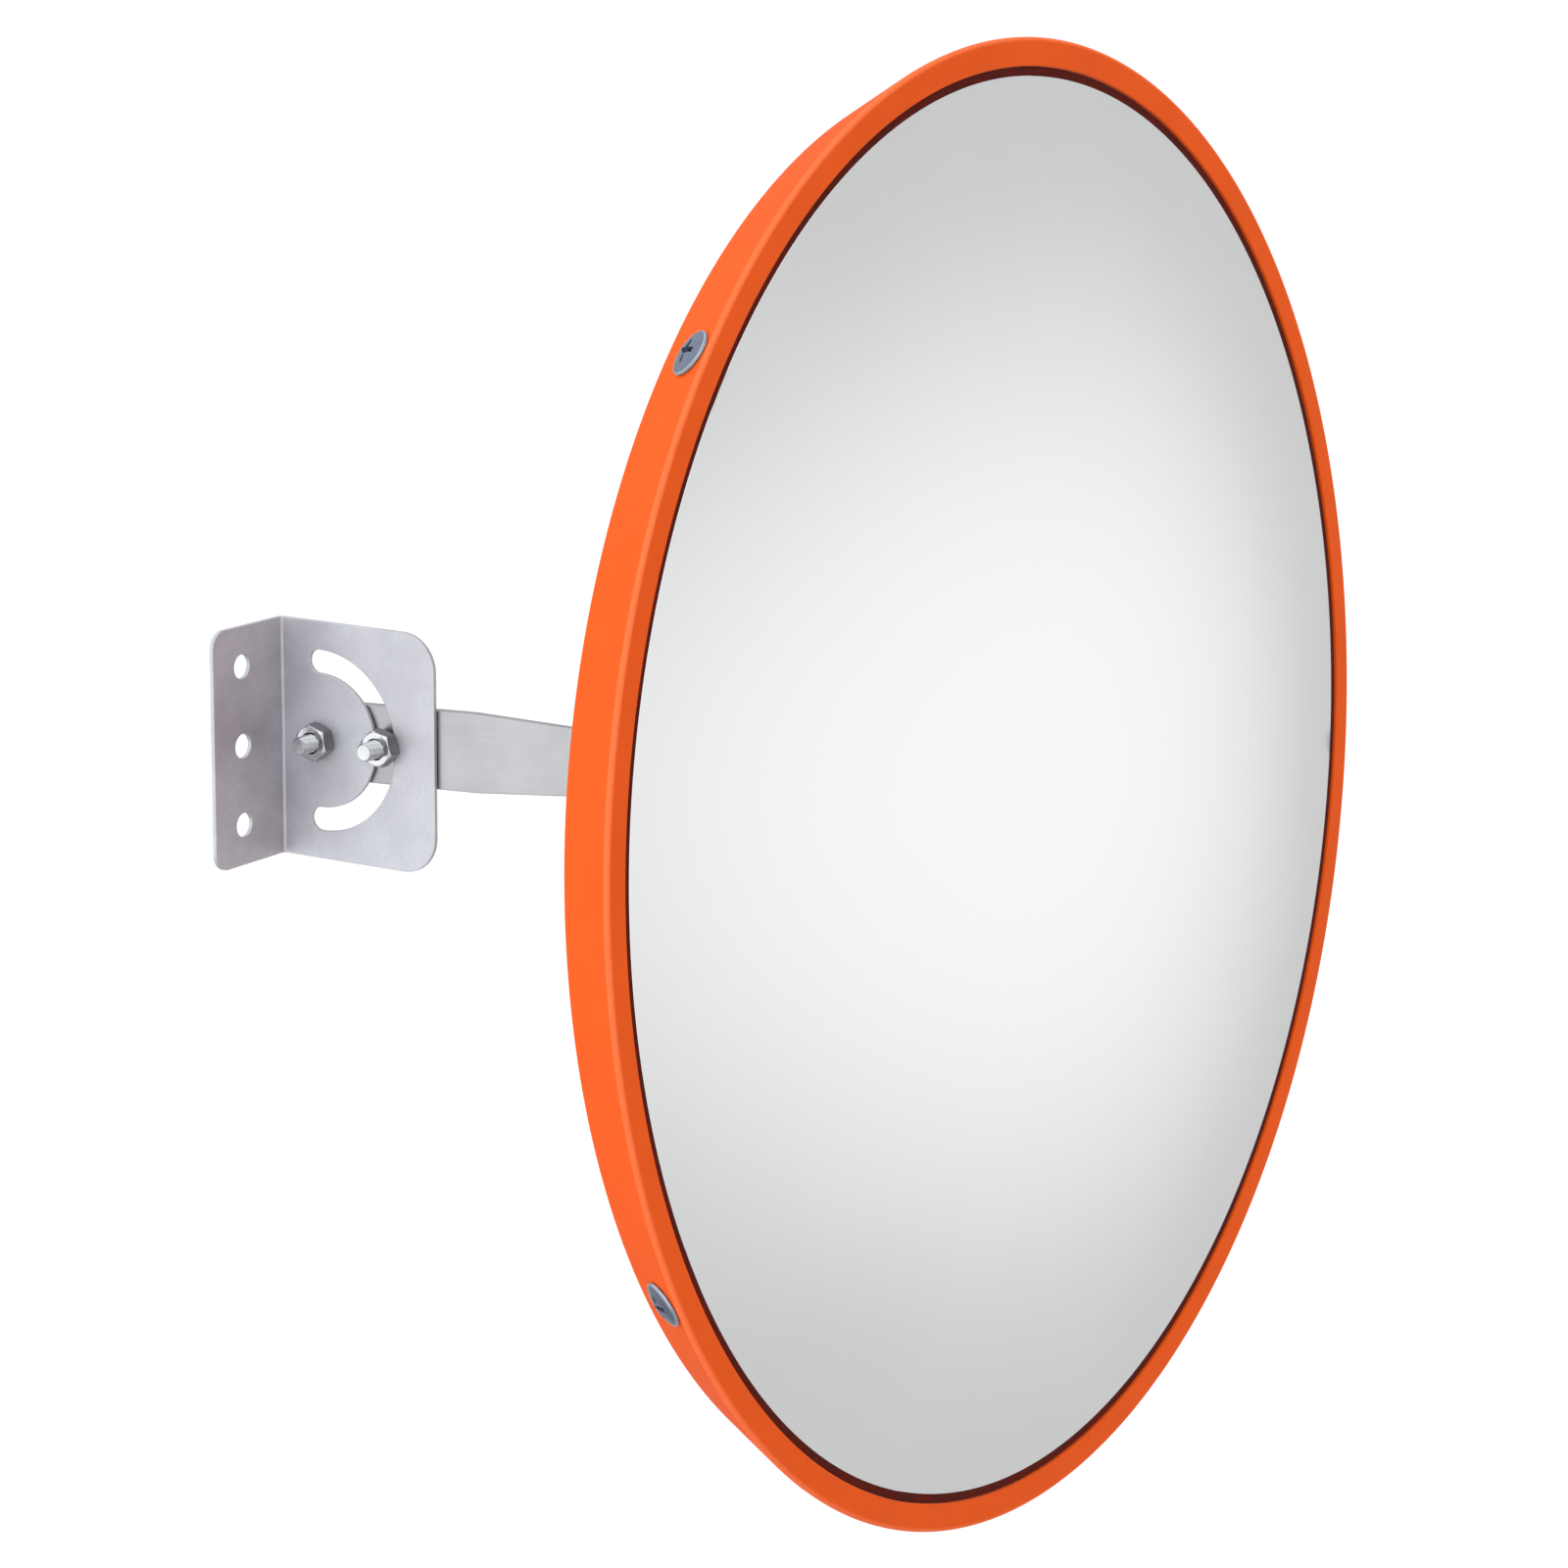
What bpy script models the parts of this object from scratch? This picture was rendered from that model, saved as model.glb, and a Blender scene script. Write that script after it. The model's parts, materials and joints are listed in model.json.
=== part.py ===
"""Wall-mounted convex traffic mirror.

Units are metres and +Z is up.  The origin is the centre of the middle screw
hole on the back face of the wall bracket; the wall is the plane y = 0 and the
mirror looks out along -Y.  The bracket is fixed.  Everything from the arm
outwards turns about the pivot bolt, and is modelled in the frame of an empty
on that bolt: local X runs along the bolt, local Z along the arm towards the
front of the mirror, local Y upwards.
"""
import math

import bmesh
import bpy
from mathutils import Euler, Matrix, Vector

# ---- driving dimensions -------------------------------------------------
GAP = 0.0003                  # clearance between touching pieces

PLATE = 0.0015                # bracket sheet thickness
BRACKET_HEIGHT = 0.079
WALL_LEG = 0.0356             # inner corner of the bend to the free edge
ARM_LEG = 0.0626              # wall plane to the free edge
BEND_INNER = 0.001
WALL_CORNER = 0.006
ARM_CORNER = 0.0125
HOLE_TO_BEND = 0.02075        # screw hole line to the arm leg
SCREW_HOLE = 0.004            # radius
SCREW_PITCH = 0.0262

PIVOT_OUT = 0.0168            # wall plane to pivot bolt
SLOT_RADIUS = 0.0262
SLOT_HALF = 0.0039
SLOT_SWEEP = math.radians(90.0)
ARM_RISE = math.radians(2.57)

BOLT = 0.0031                 # clamp bolt radius
BOLT_HOLE = 0.0034
BOLT_LENGTH = 0.0185          # under the head
NUT_FLAT = 0.0055             # half across flats
PIVOT_NUT_TURN = math.radians(40.0)
GUIDE_NUT_TURN = math.radians(43.0)
NUT_THICK = 0.0052
HEAD_THICK = 0.004
WASHER = 0.0070
WASHER_THICK = 0.0012

ARM_THICK = 0.003
ARM_HALF = 0.013
ARM_TAPER_FROM = 0.060
ARM_TAPER_TO = 0.137
ARM_TIP_HALF = 0.009
ARM_BEND = 0.002              # inner radius at the foot
ARM_REACH = 0.25025           # pivot to the mirror's front plane
MIRROR_SIDE = 0.0205          # arm leg to the mirror's axis

FOOT_CORNER = 0.004
FOOT_BOLT = 0.0025
FOOT_BOLT_HOLE = 0.0028
FOOT_SPREAD = 0.010           # bolts either side of the axis
FOOT_NUT_FLAT = 0.004
FOOT_NUT_THICK = 0.004
FOOT_WASHER = 0.005
FOOT_WASHER_THICK = 0.001
FOOT_HEAD_THICK = 0.0035
BACKING_LENGTH = 0.060
BACKING_WIDTH = 0.024
BACKING_THICK = 0.002
BACKING_CORNER = 0.003
FOOT_BOLT_SPARE = 0.0015      # bolt showing past its nut

RIM = 0.225                   # outer radius of the mirror
RIM_TAPER = 0.5525            # fall of radius per depth along the side
RIM_LIP = 0.2164              # inner radius of the orange lip
LIP_THICK = 0.002
LIP_ROUND = 0.0012
RIM_WALL = 0.002
SIDE_DEPTH = 0.0219           # front plane to the rim's back edge
SHELL_WALL = 0.0016           # the part nested inside the rim
SHELL_BACK = 0.002
SHELL_LEDGE = 0.0232          # front plane to the flat ledge behind the rim
LEDGE_OUT = 0.209             # outer radius of the ledge
LEDGE_IN = 0.190
CONE_IN = 0.075               # inner end of the cone behind the ledge
CONE_DEPTH = 0.038
SHELL_DEPTH = 0.040           # front plane to the mounting pad
PAD_RADIUS = 0.070
SHELL_SLOPE = 0.0008          # inside corners fall back by this much
FLOOR_EASE = 0.001            # height of the sloped corner at the shell's floor
RIB_OUT = 0.208               # rib behind the lens edge
RIB_IN = 0.206
RIB_FRONT = 0.0013
LENS_EDGE = 0.2135
LENS_SINK = 0.0009            # edge of the dome behind the front plane
LENS_RISE = 0.0379
LENS_THICK = 0.0025
LENS_STEPS = 8                # rings of the dome
FLANGE_FRONT = 0.0033         # flange behind the dome's edge, by depth
FLANGE_BACK = 0.0046
FLANGE_OUT = 0.2157
FLANGE_IN = 0.2112
GASKET_GROOVE = 0.216         # inner radius of the groove round the flange
GASKET_OUT = 0.217
GASKET_SEAT = 0.0030
GASKET_BACK = 0.0049

RIM_SCREWS = 5
RIM_SCREW_FIRST = math.radians(65.35)
RIM_SCREW_DEPTH = 0.0081
RIM_SCREW = 0.0025
RIM_SCREW_HOLE = 0.0028
RIM_SCREW_LENGTH = 0.0051
RIM_SCREW_POINT = 0.001       # length of the tapered end
RIM_SCREW_HEAD = 0.007
RIM_SCREW_HEAD_THICK = 0.0022
SCREW_EDGE_SHARE = 0.4        # upright edge of the head, as a share of its height
SCREW_TIP_SHARE = 0.7         # radius of the shank's end
SCREW_DOME_RINGS = (0.8, 0.5)
RIM_NUT_SIDE = 0.008
RIM_NUT_FROM = 0.0039
RIM_NUT_THICK = 0.0012

ROUND = 60                    # sides of the large turned pieces
SMALL_ROUND = 20              # sides of bolts, holes and washers
TINY_ROUND = 12               # sides of the holes round the rim
RIM_DRILL_DEEP = 0.007        # the rim's drills stop short of the lens rib
RIM_DRILL_OUT = 0.003
REACH_THROUGH = 0.01          # how far a drill runs each way from its face
CLEAR = 0.1                   # beyond every edge of the bracket

MATERIALS = {
    "galvanised_steel": ((0.52, 0.52, 0.55), 0.38, 1.0),
    "arm_steel": ((0.58, 0.58, 0.60), 0.36, 1.0),
    "bright_zinc": ((0.66, 0.68, 0.70), 0.20, 1.0),
    "blue_zinc": ((0.33, 0.38, 0.50), 0.28, 1.0),
    "orange_rim": ((0.86, 0.12, 0.022), 0.42, 0.0),
    "orange_shell": ((0.95, 0.15, 0.022), 0.45, 0.0),
    "dark_seal": ((0.075, 0.010, 0.004), 0.6, 0.0),
    "mirror_face": ((0.90, 0.91, 0.92), 0.05, 1.0),
}


# ---- helpers ------------------------------------------------------------
def clear_scene():
    for old in list(bpy.data.objects):
        bpy.data.objects.remove(old, do_unlink=True)


def material(name):
    found = bpy.data.materials.get(name)
    if found:
        return found
    colour, roughness, metallic = MATERIALS[name]
    made = bpy.data.materials.new(name)
    made.use_nodes = True
    shader = made.node_tree.nodes["Principled BSDF"]
    shader.inputs["Base Color"].default_value = (*colour, 1.0)
    shader.inputs["Roughness"].default_value = roughness
    shader.inputs["Metallic"].default_value = metallic
    return made


def add_object(name, bm, material_name=None, parent=None, place=None):
    """Turn a bmesh into an object; a piece without a material is a cutter."""
    bmesh.ops.recalc_face_normals(bm, faces=bm.faces)
    mesh = bpy.data.meshes.new(name)
    bm.to_mesh(mesh)
    bm.free()
    mesh.shade_smooth()
    mesh.set_sharp_from_angle(angle=math.radians(30.0))
    made = bpy.data.objects.new(name, mesh)
    bpy.context.collection.objects.link(made)
    made.parent = parent
    if place is not None:
        made.matrix_local = place
    if material_name:
        mesh.materials.append(material(material_name))
    else:
        made.display_type = "WIRE"
        made.hide_render = True
    return made


def boolean(target, cutter, operation="DIFFERENCE"):
    step = target.modifiers.new(cutter.name, "BOOLEAN")
    step.operation = operation
    step.solver = "EXACT"
    step.object = cutter


def arc(centre, radius, start, end, steps):
    """Points of an arc, both ends included; angles in radians."""
    points = []
    for step in range(steps + 1):
        angle = start + (end - start) * step / steps
        points.append((centre[0] + radius * math.cos(angle),
                       centre[1] + radius * math.sin(angle)))
    return points


def rounded_rectangle(low, high, radius, steps=5):
    quarter = math.pi / 2
    corners = (
        ((high[0] - radius, high[1] - radius), 0),
        ((low[0] + radius, high[1] - radius), 1),
        ((low[0] + radius, low[1] + radius), 2),
        ((high[0] - radius, low[1] + radius), 3),
    )
    outline = []
    for centre, turn in corners:
        outline += arc(centre, radius, turn * quarter, (turn + 1) * quarter, steps)
    return outline


def hexagon(half_flat, turn=0.0):
    corner = half_flat / math.cos(math.pi / 6)
    return [(corner * math.cos(turn + k * math.pi / 3),
             corner * math.sin(turn + k * math.pi / 3)) for k in range(6)]


def prism(outline, low, high):
    """Outline in local XY, extruded from z = low to z = high."""
    bm = bmesh.new()
    base = bm.faces.new([bm.verts.new((x, y, low)) for x, y in outline])
    grown = bmesh.ops.extrude_face_region(bm, geom=[base])
    top = [v for v in grown["geom"] if isinstance(v, bmesh.types.BMVert)]
    bmesh.ops.translate(bm, verts=top, vec=(0.0, 0.0, high - low))
    return bm


def turned(profile, sides):
    """Turn a closed (radius, z) profile about local Z.

    Points on the axis become single poles, so a profile may start and end
    there; any other profile makes a ring.
    """
    bm = bmesh.new()
    rings = []
    for radius, height in profile:
        if radius < 1e-7:
            rings.append([bm.verts.new((0.0, 0.0, height))])
            continue
        ring = []
        for k in range(sides):
            angle = 2 * math.pi * k / sides
            ring.append(bm.verts.new((radius * math.cos(angle),
                                      radius * math.sin(angle), height)))
        rings.append(ring)
    for near, far in zip(rings, rings[1:] + rings[:1]):
        if len(near) == 1 and len(far) == 1:
            continue
        for k in range(sides):
            corners = [near[k % len(near)], near[(k + 1) % len(near)],
                       far[(k + 1) % len(far)], far[k % len(far)]]
            bm.faces.new(list(dict.fromkeys(corners)))
    return bm


def disc_profile(radius, low, high, hole=0.0):
    return [(hole, low), (radius, low), (radius, high), (hole, high)]


def along_x(x, y=0.0, z=0.0):
    """Placement that lays a piece's local Z along +X."""
    return Matrix.Translation((x, y, z)) @ Matrix.Rotation(math.pi / 2, 4, "Y")


def along_minus_y(x, y, z):
    """Placement that lays a piece's local Z along -Y and its local Y up."""
    return Matrix.Translation((x, y, z)) @ Matrix.Rotation(math.pi / 2, 4, "X")


# ---- fixed bracket ------------------------------------------------------
def bracket_section():
    """L-shaped sheet section in the XY plane, seen from above."""
    outer = BEND_INNER + PLATE
    left = HOLE_TO_BEND - WALL_LEG
    right = HOLE_TO_BEND + PLATE
    centre = (HOLE_TO_BEND - BEND_INNER, -PLATE - BEND_INNER)
    section = [(left, 0.0)]
    section += arc(centre, outer, math.pi / 2, 0.0, 5)
    section += [(right, -ARM_LEG), (HOLE_TO_BEND, -ARM_LEG)]
    section += arc(centre, BEND_INNER, 0.0, math.pi / 2, 5)
    section += [(left, -PLATE)]
    return section


def arc_slot_outline():
    """Outline round the slot, in the plane (forward, up) about the pivot."""
    outline = arc((0.0, 0.0), SLOT_RADIUS + SLOT_HALF, -SLOT_SWEEP, SLOT_SWEEP, 24)
    outline += arc((0.0, SLOT_RADIUS), SLOT_HALF, math.pi / 2, math.pi * 1.5, 8)[1:-1]
    outline += arc((0.0, 0.0), SLOT_RADIUS - SLOT_HALF, SLOT_SWEEP, -SLOT_SWEEP, 24)
    outline += arc((0.0, -SLOT_RADIUS), SLOT_HALF, math.pi / 2, math.pi * 1.5, 8)[1:-1]
    return outline


def sideways(outline):
    """Prism from a (forward, up) outline, and the placement along X."""
    turn = Matrix(((0, 0, 1, 0), (-1, 0, 0, 0), (0, 1, 0, 0), (0, 0, 0, 1)))
    return prism(outline, -CLEAR, CLEAR), turn


def drill_through(radius, sides=SMALL_ROUND):
    """Drill that runs both ways from the face it is placed on."""
    return turned(disc_profile(radius, -REACH_THROUGH, REACH_THROUGH), sides)


def build_bracket():
    half = BRACKET_HEIGHT / 2
    bracket = add_object("wall_bracket", prism(bracket_section(), -half, half),
                         "galvanised_steel")
    arm_trim, turn = sideways(
        rounded_rectangle((-CLEAR, -half), (ARM_LEG, half), ARM_CORNER))
    boolean(bracket, add_object("trim_arm_leg", arm_trim, place=turn), "INTERSECT")
    wall_trim = prism(rounded_rectangle((HOLE_TO_BEND - WALL_LEG, -half),
                                        (CLEAR, half), WALL_CORNER), -CLEAR, CLEAR)
    boolean(bracket, add_object("trim_wall_leg", wall_trim,
                                place=along_minus_y(0, 0, 0)), "INTERSECT")
    for number, height in enumerate((SCREW_PITCH, 0.0, -SCREW_PITCH), 1):
        boolean(bracket, add_object(f"drill_wall_{number}",
                                    drill_through(SCREW_HOLE),
                                    place=along_minus_y(0, 0, height)))
    slot = prism(arc_slot_outline(), -REACH_THROUGH, REACH_THROUGH)
    facing = Matrix(((0, 0, 1, HOLE_TO_BEND), (-1, 0, 0, -PIVOT_OUT), (0, 1, 0, 0),
                     (0, 0, 0, 1)))
    boolean(bracket, add_object("cut_slot", slot, place=facing))
    boolean(bracket, add_object("drill_pivot", drill_through(BOLT_HOLE),
                                place=along_x(HOLE_TO_BEND, -PIVOT_OUT)))


# ---- fasteners ----------------------------------------------------------
def hex_bolt(name, finish, radius, length, flat, head, parent, place):
    """Head below local z = 0, shank above it with a chamfered end."""
    chamfer = radius * 0.25
    shank = [(0.0, -head / 2), (radius, -head / 2), (radius, length - chamfer),
             (radius - chamfer, length), (0.0, length)]
    bolt = add_object(name, turned(shank, SMALL_ROUND), finish, parent, place)
    body = add_object(name + "_head_form", prism(hexagon(flat), -head, 0.0),
                      parent=parent, place=place)
    boolean(bolt, body, "UNION")


def hex_nut(name, finish, bore, thick, flat, turn, parent, place):
    nut = add_object(name, prism(hexagon(flat, turn), 0.0, thick), finish,
                     parent, place)
    drill = turned(disc_profile(bore, -thick, 2 * thick), SMALL_ROUND)
    boolean(nut, add_object(name + "_drill", drill, parent=parent, place=place))


def washer(name, finish, bore, radius, thick, parent, place):
    profile = disc_profile(radius, 0.0, thick, bore)
    add_object(name, turned(profile, SMALL_ROUND), finish, parent, place)


def clamp_set(name, forward, parent, turn):
    """Bolt from behind the arm, washer under its head, nut on the arm leg.

    Local X of the parent is zero on the arm leg's far face.
    """
    seat = GAP + ARM_THICK + GAP
    back = Matrix.Translation((0, 0, forward)) @ along_x(seat)
    washer(name + "_washer", "bright_zinc", BOLT + GAP, WASHER, WASHER_THICK,
           parent, back)
    head_at = seat + WASHER_THICK + GAP
    towards = Matrix.Translation((0, 0, forward)) @ Matrix.Rotation(
        -math.pi / 2, 4, "Y")
    hex_bolt(name + "_bolt", "bright_zinc", BOLT, BOLT_LENGTH, NUT_FLAT,
             HEAD_THICK, parent, Matrix.Translation((head_at, 0, 0)) @ towards)
    hex_nut(name + "_nut", "bright_zinc", BOLT + GAP, NUT_THICK, NUT_FLAT, turn,
            parent, Matrix.Translation((-PLATE - GAP, 0, 0)) @ towards)


# ---- arm and its foot ---------------------------------------------------
def foot_front():
    """Local z of the foot's mirror-side face."""
    return ARM_REACH - SHELL_DEPTH - GAP


def arm_section():
    """Bar bent through a right angle, in the plane (x, z)."""
    near = GAP
    front = foot_front()
    far = 2 * MIRROR_SIDE - near
    outer = ARM_BEND + ARM_THICK
    centre = (near + outer, front - outer)
    tail = -ARM_HALF
    section = [(near, tail)]
    section += arc(centre, outer, math.pi, math.pi / 2, 6)
    section += [(far, front), (far, front - ARM_THICK)]
    section += arc(centre, ARM_BEND, math.pi / 2, math.pi, 6)
    section += [(near + ARM_THICK, tail)]
    return section


def arm_side_outline():
    """Side view of the arm in the plane (z, y): round end, taper, foot."""
    outline = arc((0.0, 0.0), ARM_HALF, math.pi / 2, math.pi * 1.5, 12)
    end = ARM_REACH
    outline += [(ARM_TAPER_FROM, -ARM_HALF), (ARM_TAPER_TO, -ARM_TIP_HALF),
                (end, -ARM_TIP_HALF), (end, ARM_TIP_HALF),
                (ARM_TAPER_TO, ARM_TIP_HALF), (ARM_TAPER_FROM, ARM_HALF)]
    return outline


def foot_outline():
    """Plan of the foot in the plane (x, y): round free corners, wide root."""
    end = 2 * MIRROR_SIDE - GAP
    root = 2 * ARM_THICK
    wide = 2 * ARM_HALF
    centre = (end - FOOT_CORNER, ARM_TIP_HALF - FOOT_CORNER)
    upper = arc(centre, FOOT_CORNER, math.pi / 2, 0.0, 5)
    lower = [(x, -y) for x, y in reversed(upper)]
    return ([(-wide, wide), (root, wide), (root, ARM_TIP_HALF)] + upper
            + lower + [(root, -ARM_TIP_HALF), (root, -wide), (-wide, -wide)])


def build_arm(pivot):
    # (x, z) section laid out in local XY, then extruded across the arm
    across = Matrix(((1, 0, 0, 0), (0, 0, -1, 0), (0, 1, 0, 0), (0, 0, 0, 1)))
    wide = 2 * ARM_HALF
    arm = add_object("arm", prism(arm_section(), -wide, wide), "arm_steel",
                     pivot, across)
    # (z, y) outline laid out in local XY, then extruded along the bolt
    side = Matrix(((0, 0, -1, 0), (0, 1, 0, 0), (1, 0, 0, 0), (0, 0, 0, 1)))
    trim = add_object("trim_arm_side", prism(arm_side_outline(), -CLEAR, CLEAR),
                      parent=pivot, place=side)
    boolean(arm, trim, "INTERSECT")
    round_foot = add_object("trim_foot", prism(foot_outline(), -CLEAR, ARM_REACH),
                            parent=pivot)
    boolean(arm, round_foot, "INTERSECT")
    for number, forward in enumerate((0.0, SLOT_RADIUS), 1):
        place = Matrix.Translation((0, 0, forward)) @ along_x(0.0)
        boolean(arm, add_object(f"drill_arm_{number}", drill_through(BOLT_HOLE),
                                parent=pivot, place=place))
    for number, side_step in enumerate((-FOOT_SPREAD, FOOT_SPREAD), 1):
        place = Matrix.Translation((MIRROR_SIDE + side_step, 0, foot_front()))
        boolean(arm, add_object(f"drill_foot_{number}",
                                drill_through(FOOT_BOLT_HOLE),
                                parent=pivot, place=place))


def build_foot_fasteners(pivot):
    plate_back = ARM_REACH - SHELL_DEPTH + SHELL_BACK + GAP
    plate_front = plate_back + BACKING_THICK
    outline = rounded_rectangle((-BACKING_LENGTH / 2, -BACKING_WIDTH / 2),
                                (BACKING_LENGTH / 2, BACKING_WIDTH / 2),
                                BACKING_CORNER, 3)
    centre = Matrix.Translation((MIRROR_SIDE, 0, 0))
    backing = add_object("backing_plate", prism(outline, plate_back, plate_front),
                         "galvanised_steel", pivot, centre)
    head_at = plate_front + GAP
    foot_back = foot_front() - ARM_THICK
    washer_back = foot_back - GAP - FOOT_WASHER_THICK
    nut_back = washer_back - GAP - FOOT_NUT_THICK
    length = head_at - nut_back + FOOT_BOLT_SPARE
    for number, side_step in enumerate((-FOOT_SPREAD, FOOT_SPREAD), 1):
        axis = Matrix.Translation((MIRROR_SIDE + side_step, 0, 0))
        boolean(backing, add_object(f"drill_backing_{number}",
                                    drill_through(FOOT_BOLT_HOLE), parent=pivot,
                                    place=axis @ Matrix.Translation((0, 0, plate_back))))
        down = axis @ Matrix.Translation((0, 0, head_at)) @ Matrix.Rotation(
            math.pi, 4, "X")
        hex_bolt(f"foot_bolt_{number}", "bright_zinc", FOOT_BOLT, length,
                 FOOT_NUT_FLAT, FOOT_HEAD_THICK, pivot, down)
        washer(f"foot_washer_{number}", "bright_zinc", FOOT_BOLT + GAP,
               FOOT_WASHER, FOOT_WASHER_THICK, pivot,
               axis @ Matrix.Translation((0, 0, washer_back)))
        hex_nut(f"foot_nut_{number}", "bright_zinc", FOOT_BOLT + GAP,
                FOOT_NUT_THICK, FOOT_NUT_FLAT, math.pi / 6, pivot,
                axis @ Matrix.Translation((0, 0, nut_back)))


# ---- mirror head --------------------------------------------------------
def side_radius(depth, inset=0.0):
    """Radius of the tapered side at a depth behind the front plane.

    The side and the lip would meet at a sharp corner outside RIM, which the
    rounding brings back to RIM.
    """
    corner = RIM + LIP_ROUND * (RIM_TAPER + math.hypot(1.0, RIM_TAPER) - 1.0)
    return corner - inset - RIM_TAPER * depth


def front_rim_profile():
    """Flat lip in front and tapered side wall, one moulding; (radius, depth)."""
    profile = [(RIM_LIP, LIP_THICK), (RIM_LIP, 0.0)]
    centre = (RIM - LIP_ROUND, -LIP_ROUND)
    profile += [(radius, -height) for radius, height in
                arc(centre, LIP_ROUND, math.pi / 2, -math.atan(RIM_TAPER), 5)]
    profile += [(side_radius(SIDE_DEPTH), SIDE_DEPTH),
                (side_radius(SIDE_DEPTH, RIM_WALL), SIDE_DEPTH),
                (side_radius(LIP_THICK, RIM_WALL), LIP_THICK)]
    return profile


def gasket_profile():
    """Channel seal round the lens edge, seen as the dark line at the lip."""
    inner = LENS_EDGE + GAP
    lip = RIM_LIP - GAP
    step = LIP_THICK + GAP
    return [(inner, LENS_SINK), (lip, LENS_SINK), (lip, step), (GASKET_OUT, step),
            (GASKET_OUT, GASKET_BACK), (GASKET_GROOVE, GASKET_BACK),
            (GASKET_GROOVE, GASKET_SEAT), (inner, GASKET_SEAT)]


def dome_arc(sphere, centre, edge, steps):
    """Spherical cap from its edge radius to the axis, as (radius, depth)."""
    half = math.asin(edge / sphere)
    points = []
    for step in range(steps + 1):
        angle = half * (1 - step / steps)
        points.append((sphere * math.sin(angle), centre - sphere * math.cos(angle)))
    return points


def lens_profile():
    """Domed mirror with a flange behind its edge, moulded in one."""
    sphere = (LENS_EDGE ** 2 + LENS_RISE ** 2) / (2 * LENS_RISE)
    centre = LENS_SINK - LENS_RISE + sphere
    outer = dome_arc(sphere, centre, LENS_EDGE, LENS_STEPS)
    inner = dome_arc(sphere - LENS_THICK, centre, FLANGE_IN, LENS_STEPS)
    edge = [(FLANGE_IN, FLANGE_BACK), (FLANGE_OUT, FLANGE_BACK),
            (FLANGE_OUT, FLANGE_FRONT), (LENS_EDGE, FLANGE_FRONT)]
    return list(reversed(inner)) + edge + outer


def shell_profile():
    """Dished back whose side wall nests inside the rim; a rib backs the lens."""
    start = LIP_THICK + 2 * GAP
    outset = RIM_WALL + GAP
    inset = outset + SHELL_WALL
    inside = SHELL_LEDGE - SHELL_BACK
    corner = inside - FLOOR_EASE
    pad_back = SHELL_DEPTH - SHELL_BACK
    outer = [(side_radius(start, outset), start),
             (side_radius(SIDE_DEPTH, outset), SIDE_DEPTH),
             (LEDGE_OUT, SHELL_LEDGE), (LEDGE_IN, SHELL_LEDGE),
             (CONE_IN, CONE_DEPTH), (PAD_RADIUS, SHELL_DEPTH), (0.0, SHELL_DEPTH)]
    inner = [(0.0, pad_back), (PAD_RADIUS - SHELL_SLOPE, pad_back),
             (CONE_IN - SHELL_SLOPE, CONE_DEPTH - SHELL_BACK), (LEDGE_IN, inside),
             (RIB_IN, inside), (RIB_IN, RIB_FRONT),
             (RIB_OUT, RIB_FRONT + SHELL_SLOPE), (RIB_OUT, inside),
             (side_radius(corner, inset) - SHELL_SLOPE, inside),
             (side_radius(corner, inset), corner),
             (side_radius(start, inset), start)]
    return outer + inner


def turned_about_mirror(name, profile, finish, pivot):
    """Turn a (radius, depth) profile about the mirror's axis."""
    place = Matrix.Translation((MIRROR_SIDE, 0, ARM_REACH))
    bm = turned([(radius, -depth) for radius, depth in profile], ROUND)
    return add_object(name, bm, finish, pivot, place)


def rim_screw_place(number):
    """Local Z points out of the tapered side at one rim screw."""
    angle = RIM_SCREW_FIRST + number * 2 * math.pi / RIM_SCREWS
    lean = math.atan(RIM_TAPER)
    radius = side_radius(RIM_SCREW_DEPTH)
    outward = Vector((math.cos(angle) * math.cos(lean),
                      math.sin(angle) * math.cos(lean), -math.sin(lean)))
    along = Vector((-math.sin(angle), math.cos(angle), 0.0))
    third = outward.cross(along)
    seat = Vector((MIRROR_SIDE + radius * math.cos(angle),
                   radius * math.sin(angle), ARM_REACH - RIM_SCREW_DEPTH))
    place = Matrix((along, third, outward)).transposed().to_4x4()
    place.translation = seat
    return place


def screw_profile():
    head_low = GAP
    head_high = GAP + RIM_SCREW_HEAD_THICK
    edge = head_low + RIM_SCREW_HEAD_THICK * SCREW_EDGE_SHARE
    tip = -RIM_SCREW_LENGTH
    dome = [(RIM_SCREW_HEAD * share, edge + (head_high - edge) * (1 - share ** 2))
            for share in SCREW_DOME_RINGS]
    return ([(0.0, tip), (RIM_SCREW * SCREW_TIP_SHARE, tip),
             (RIM_SCREW, tip + RIM_SCREW_POINT), (RIM_SCREW, head_low),
             (RIM_SCREW_HEAD, head_low), (RIM_SCREW_HEAD, edge)]
            + dome + [(0.0, head_high)])


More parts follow.
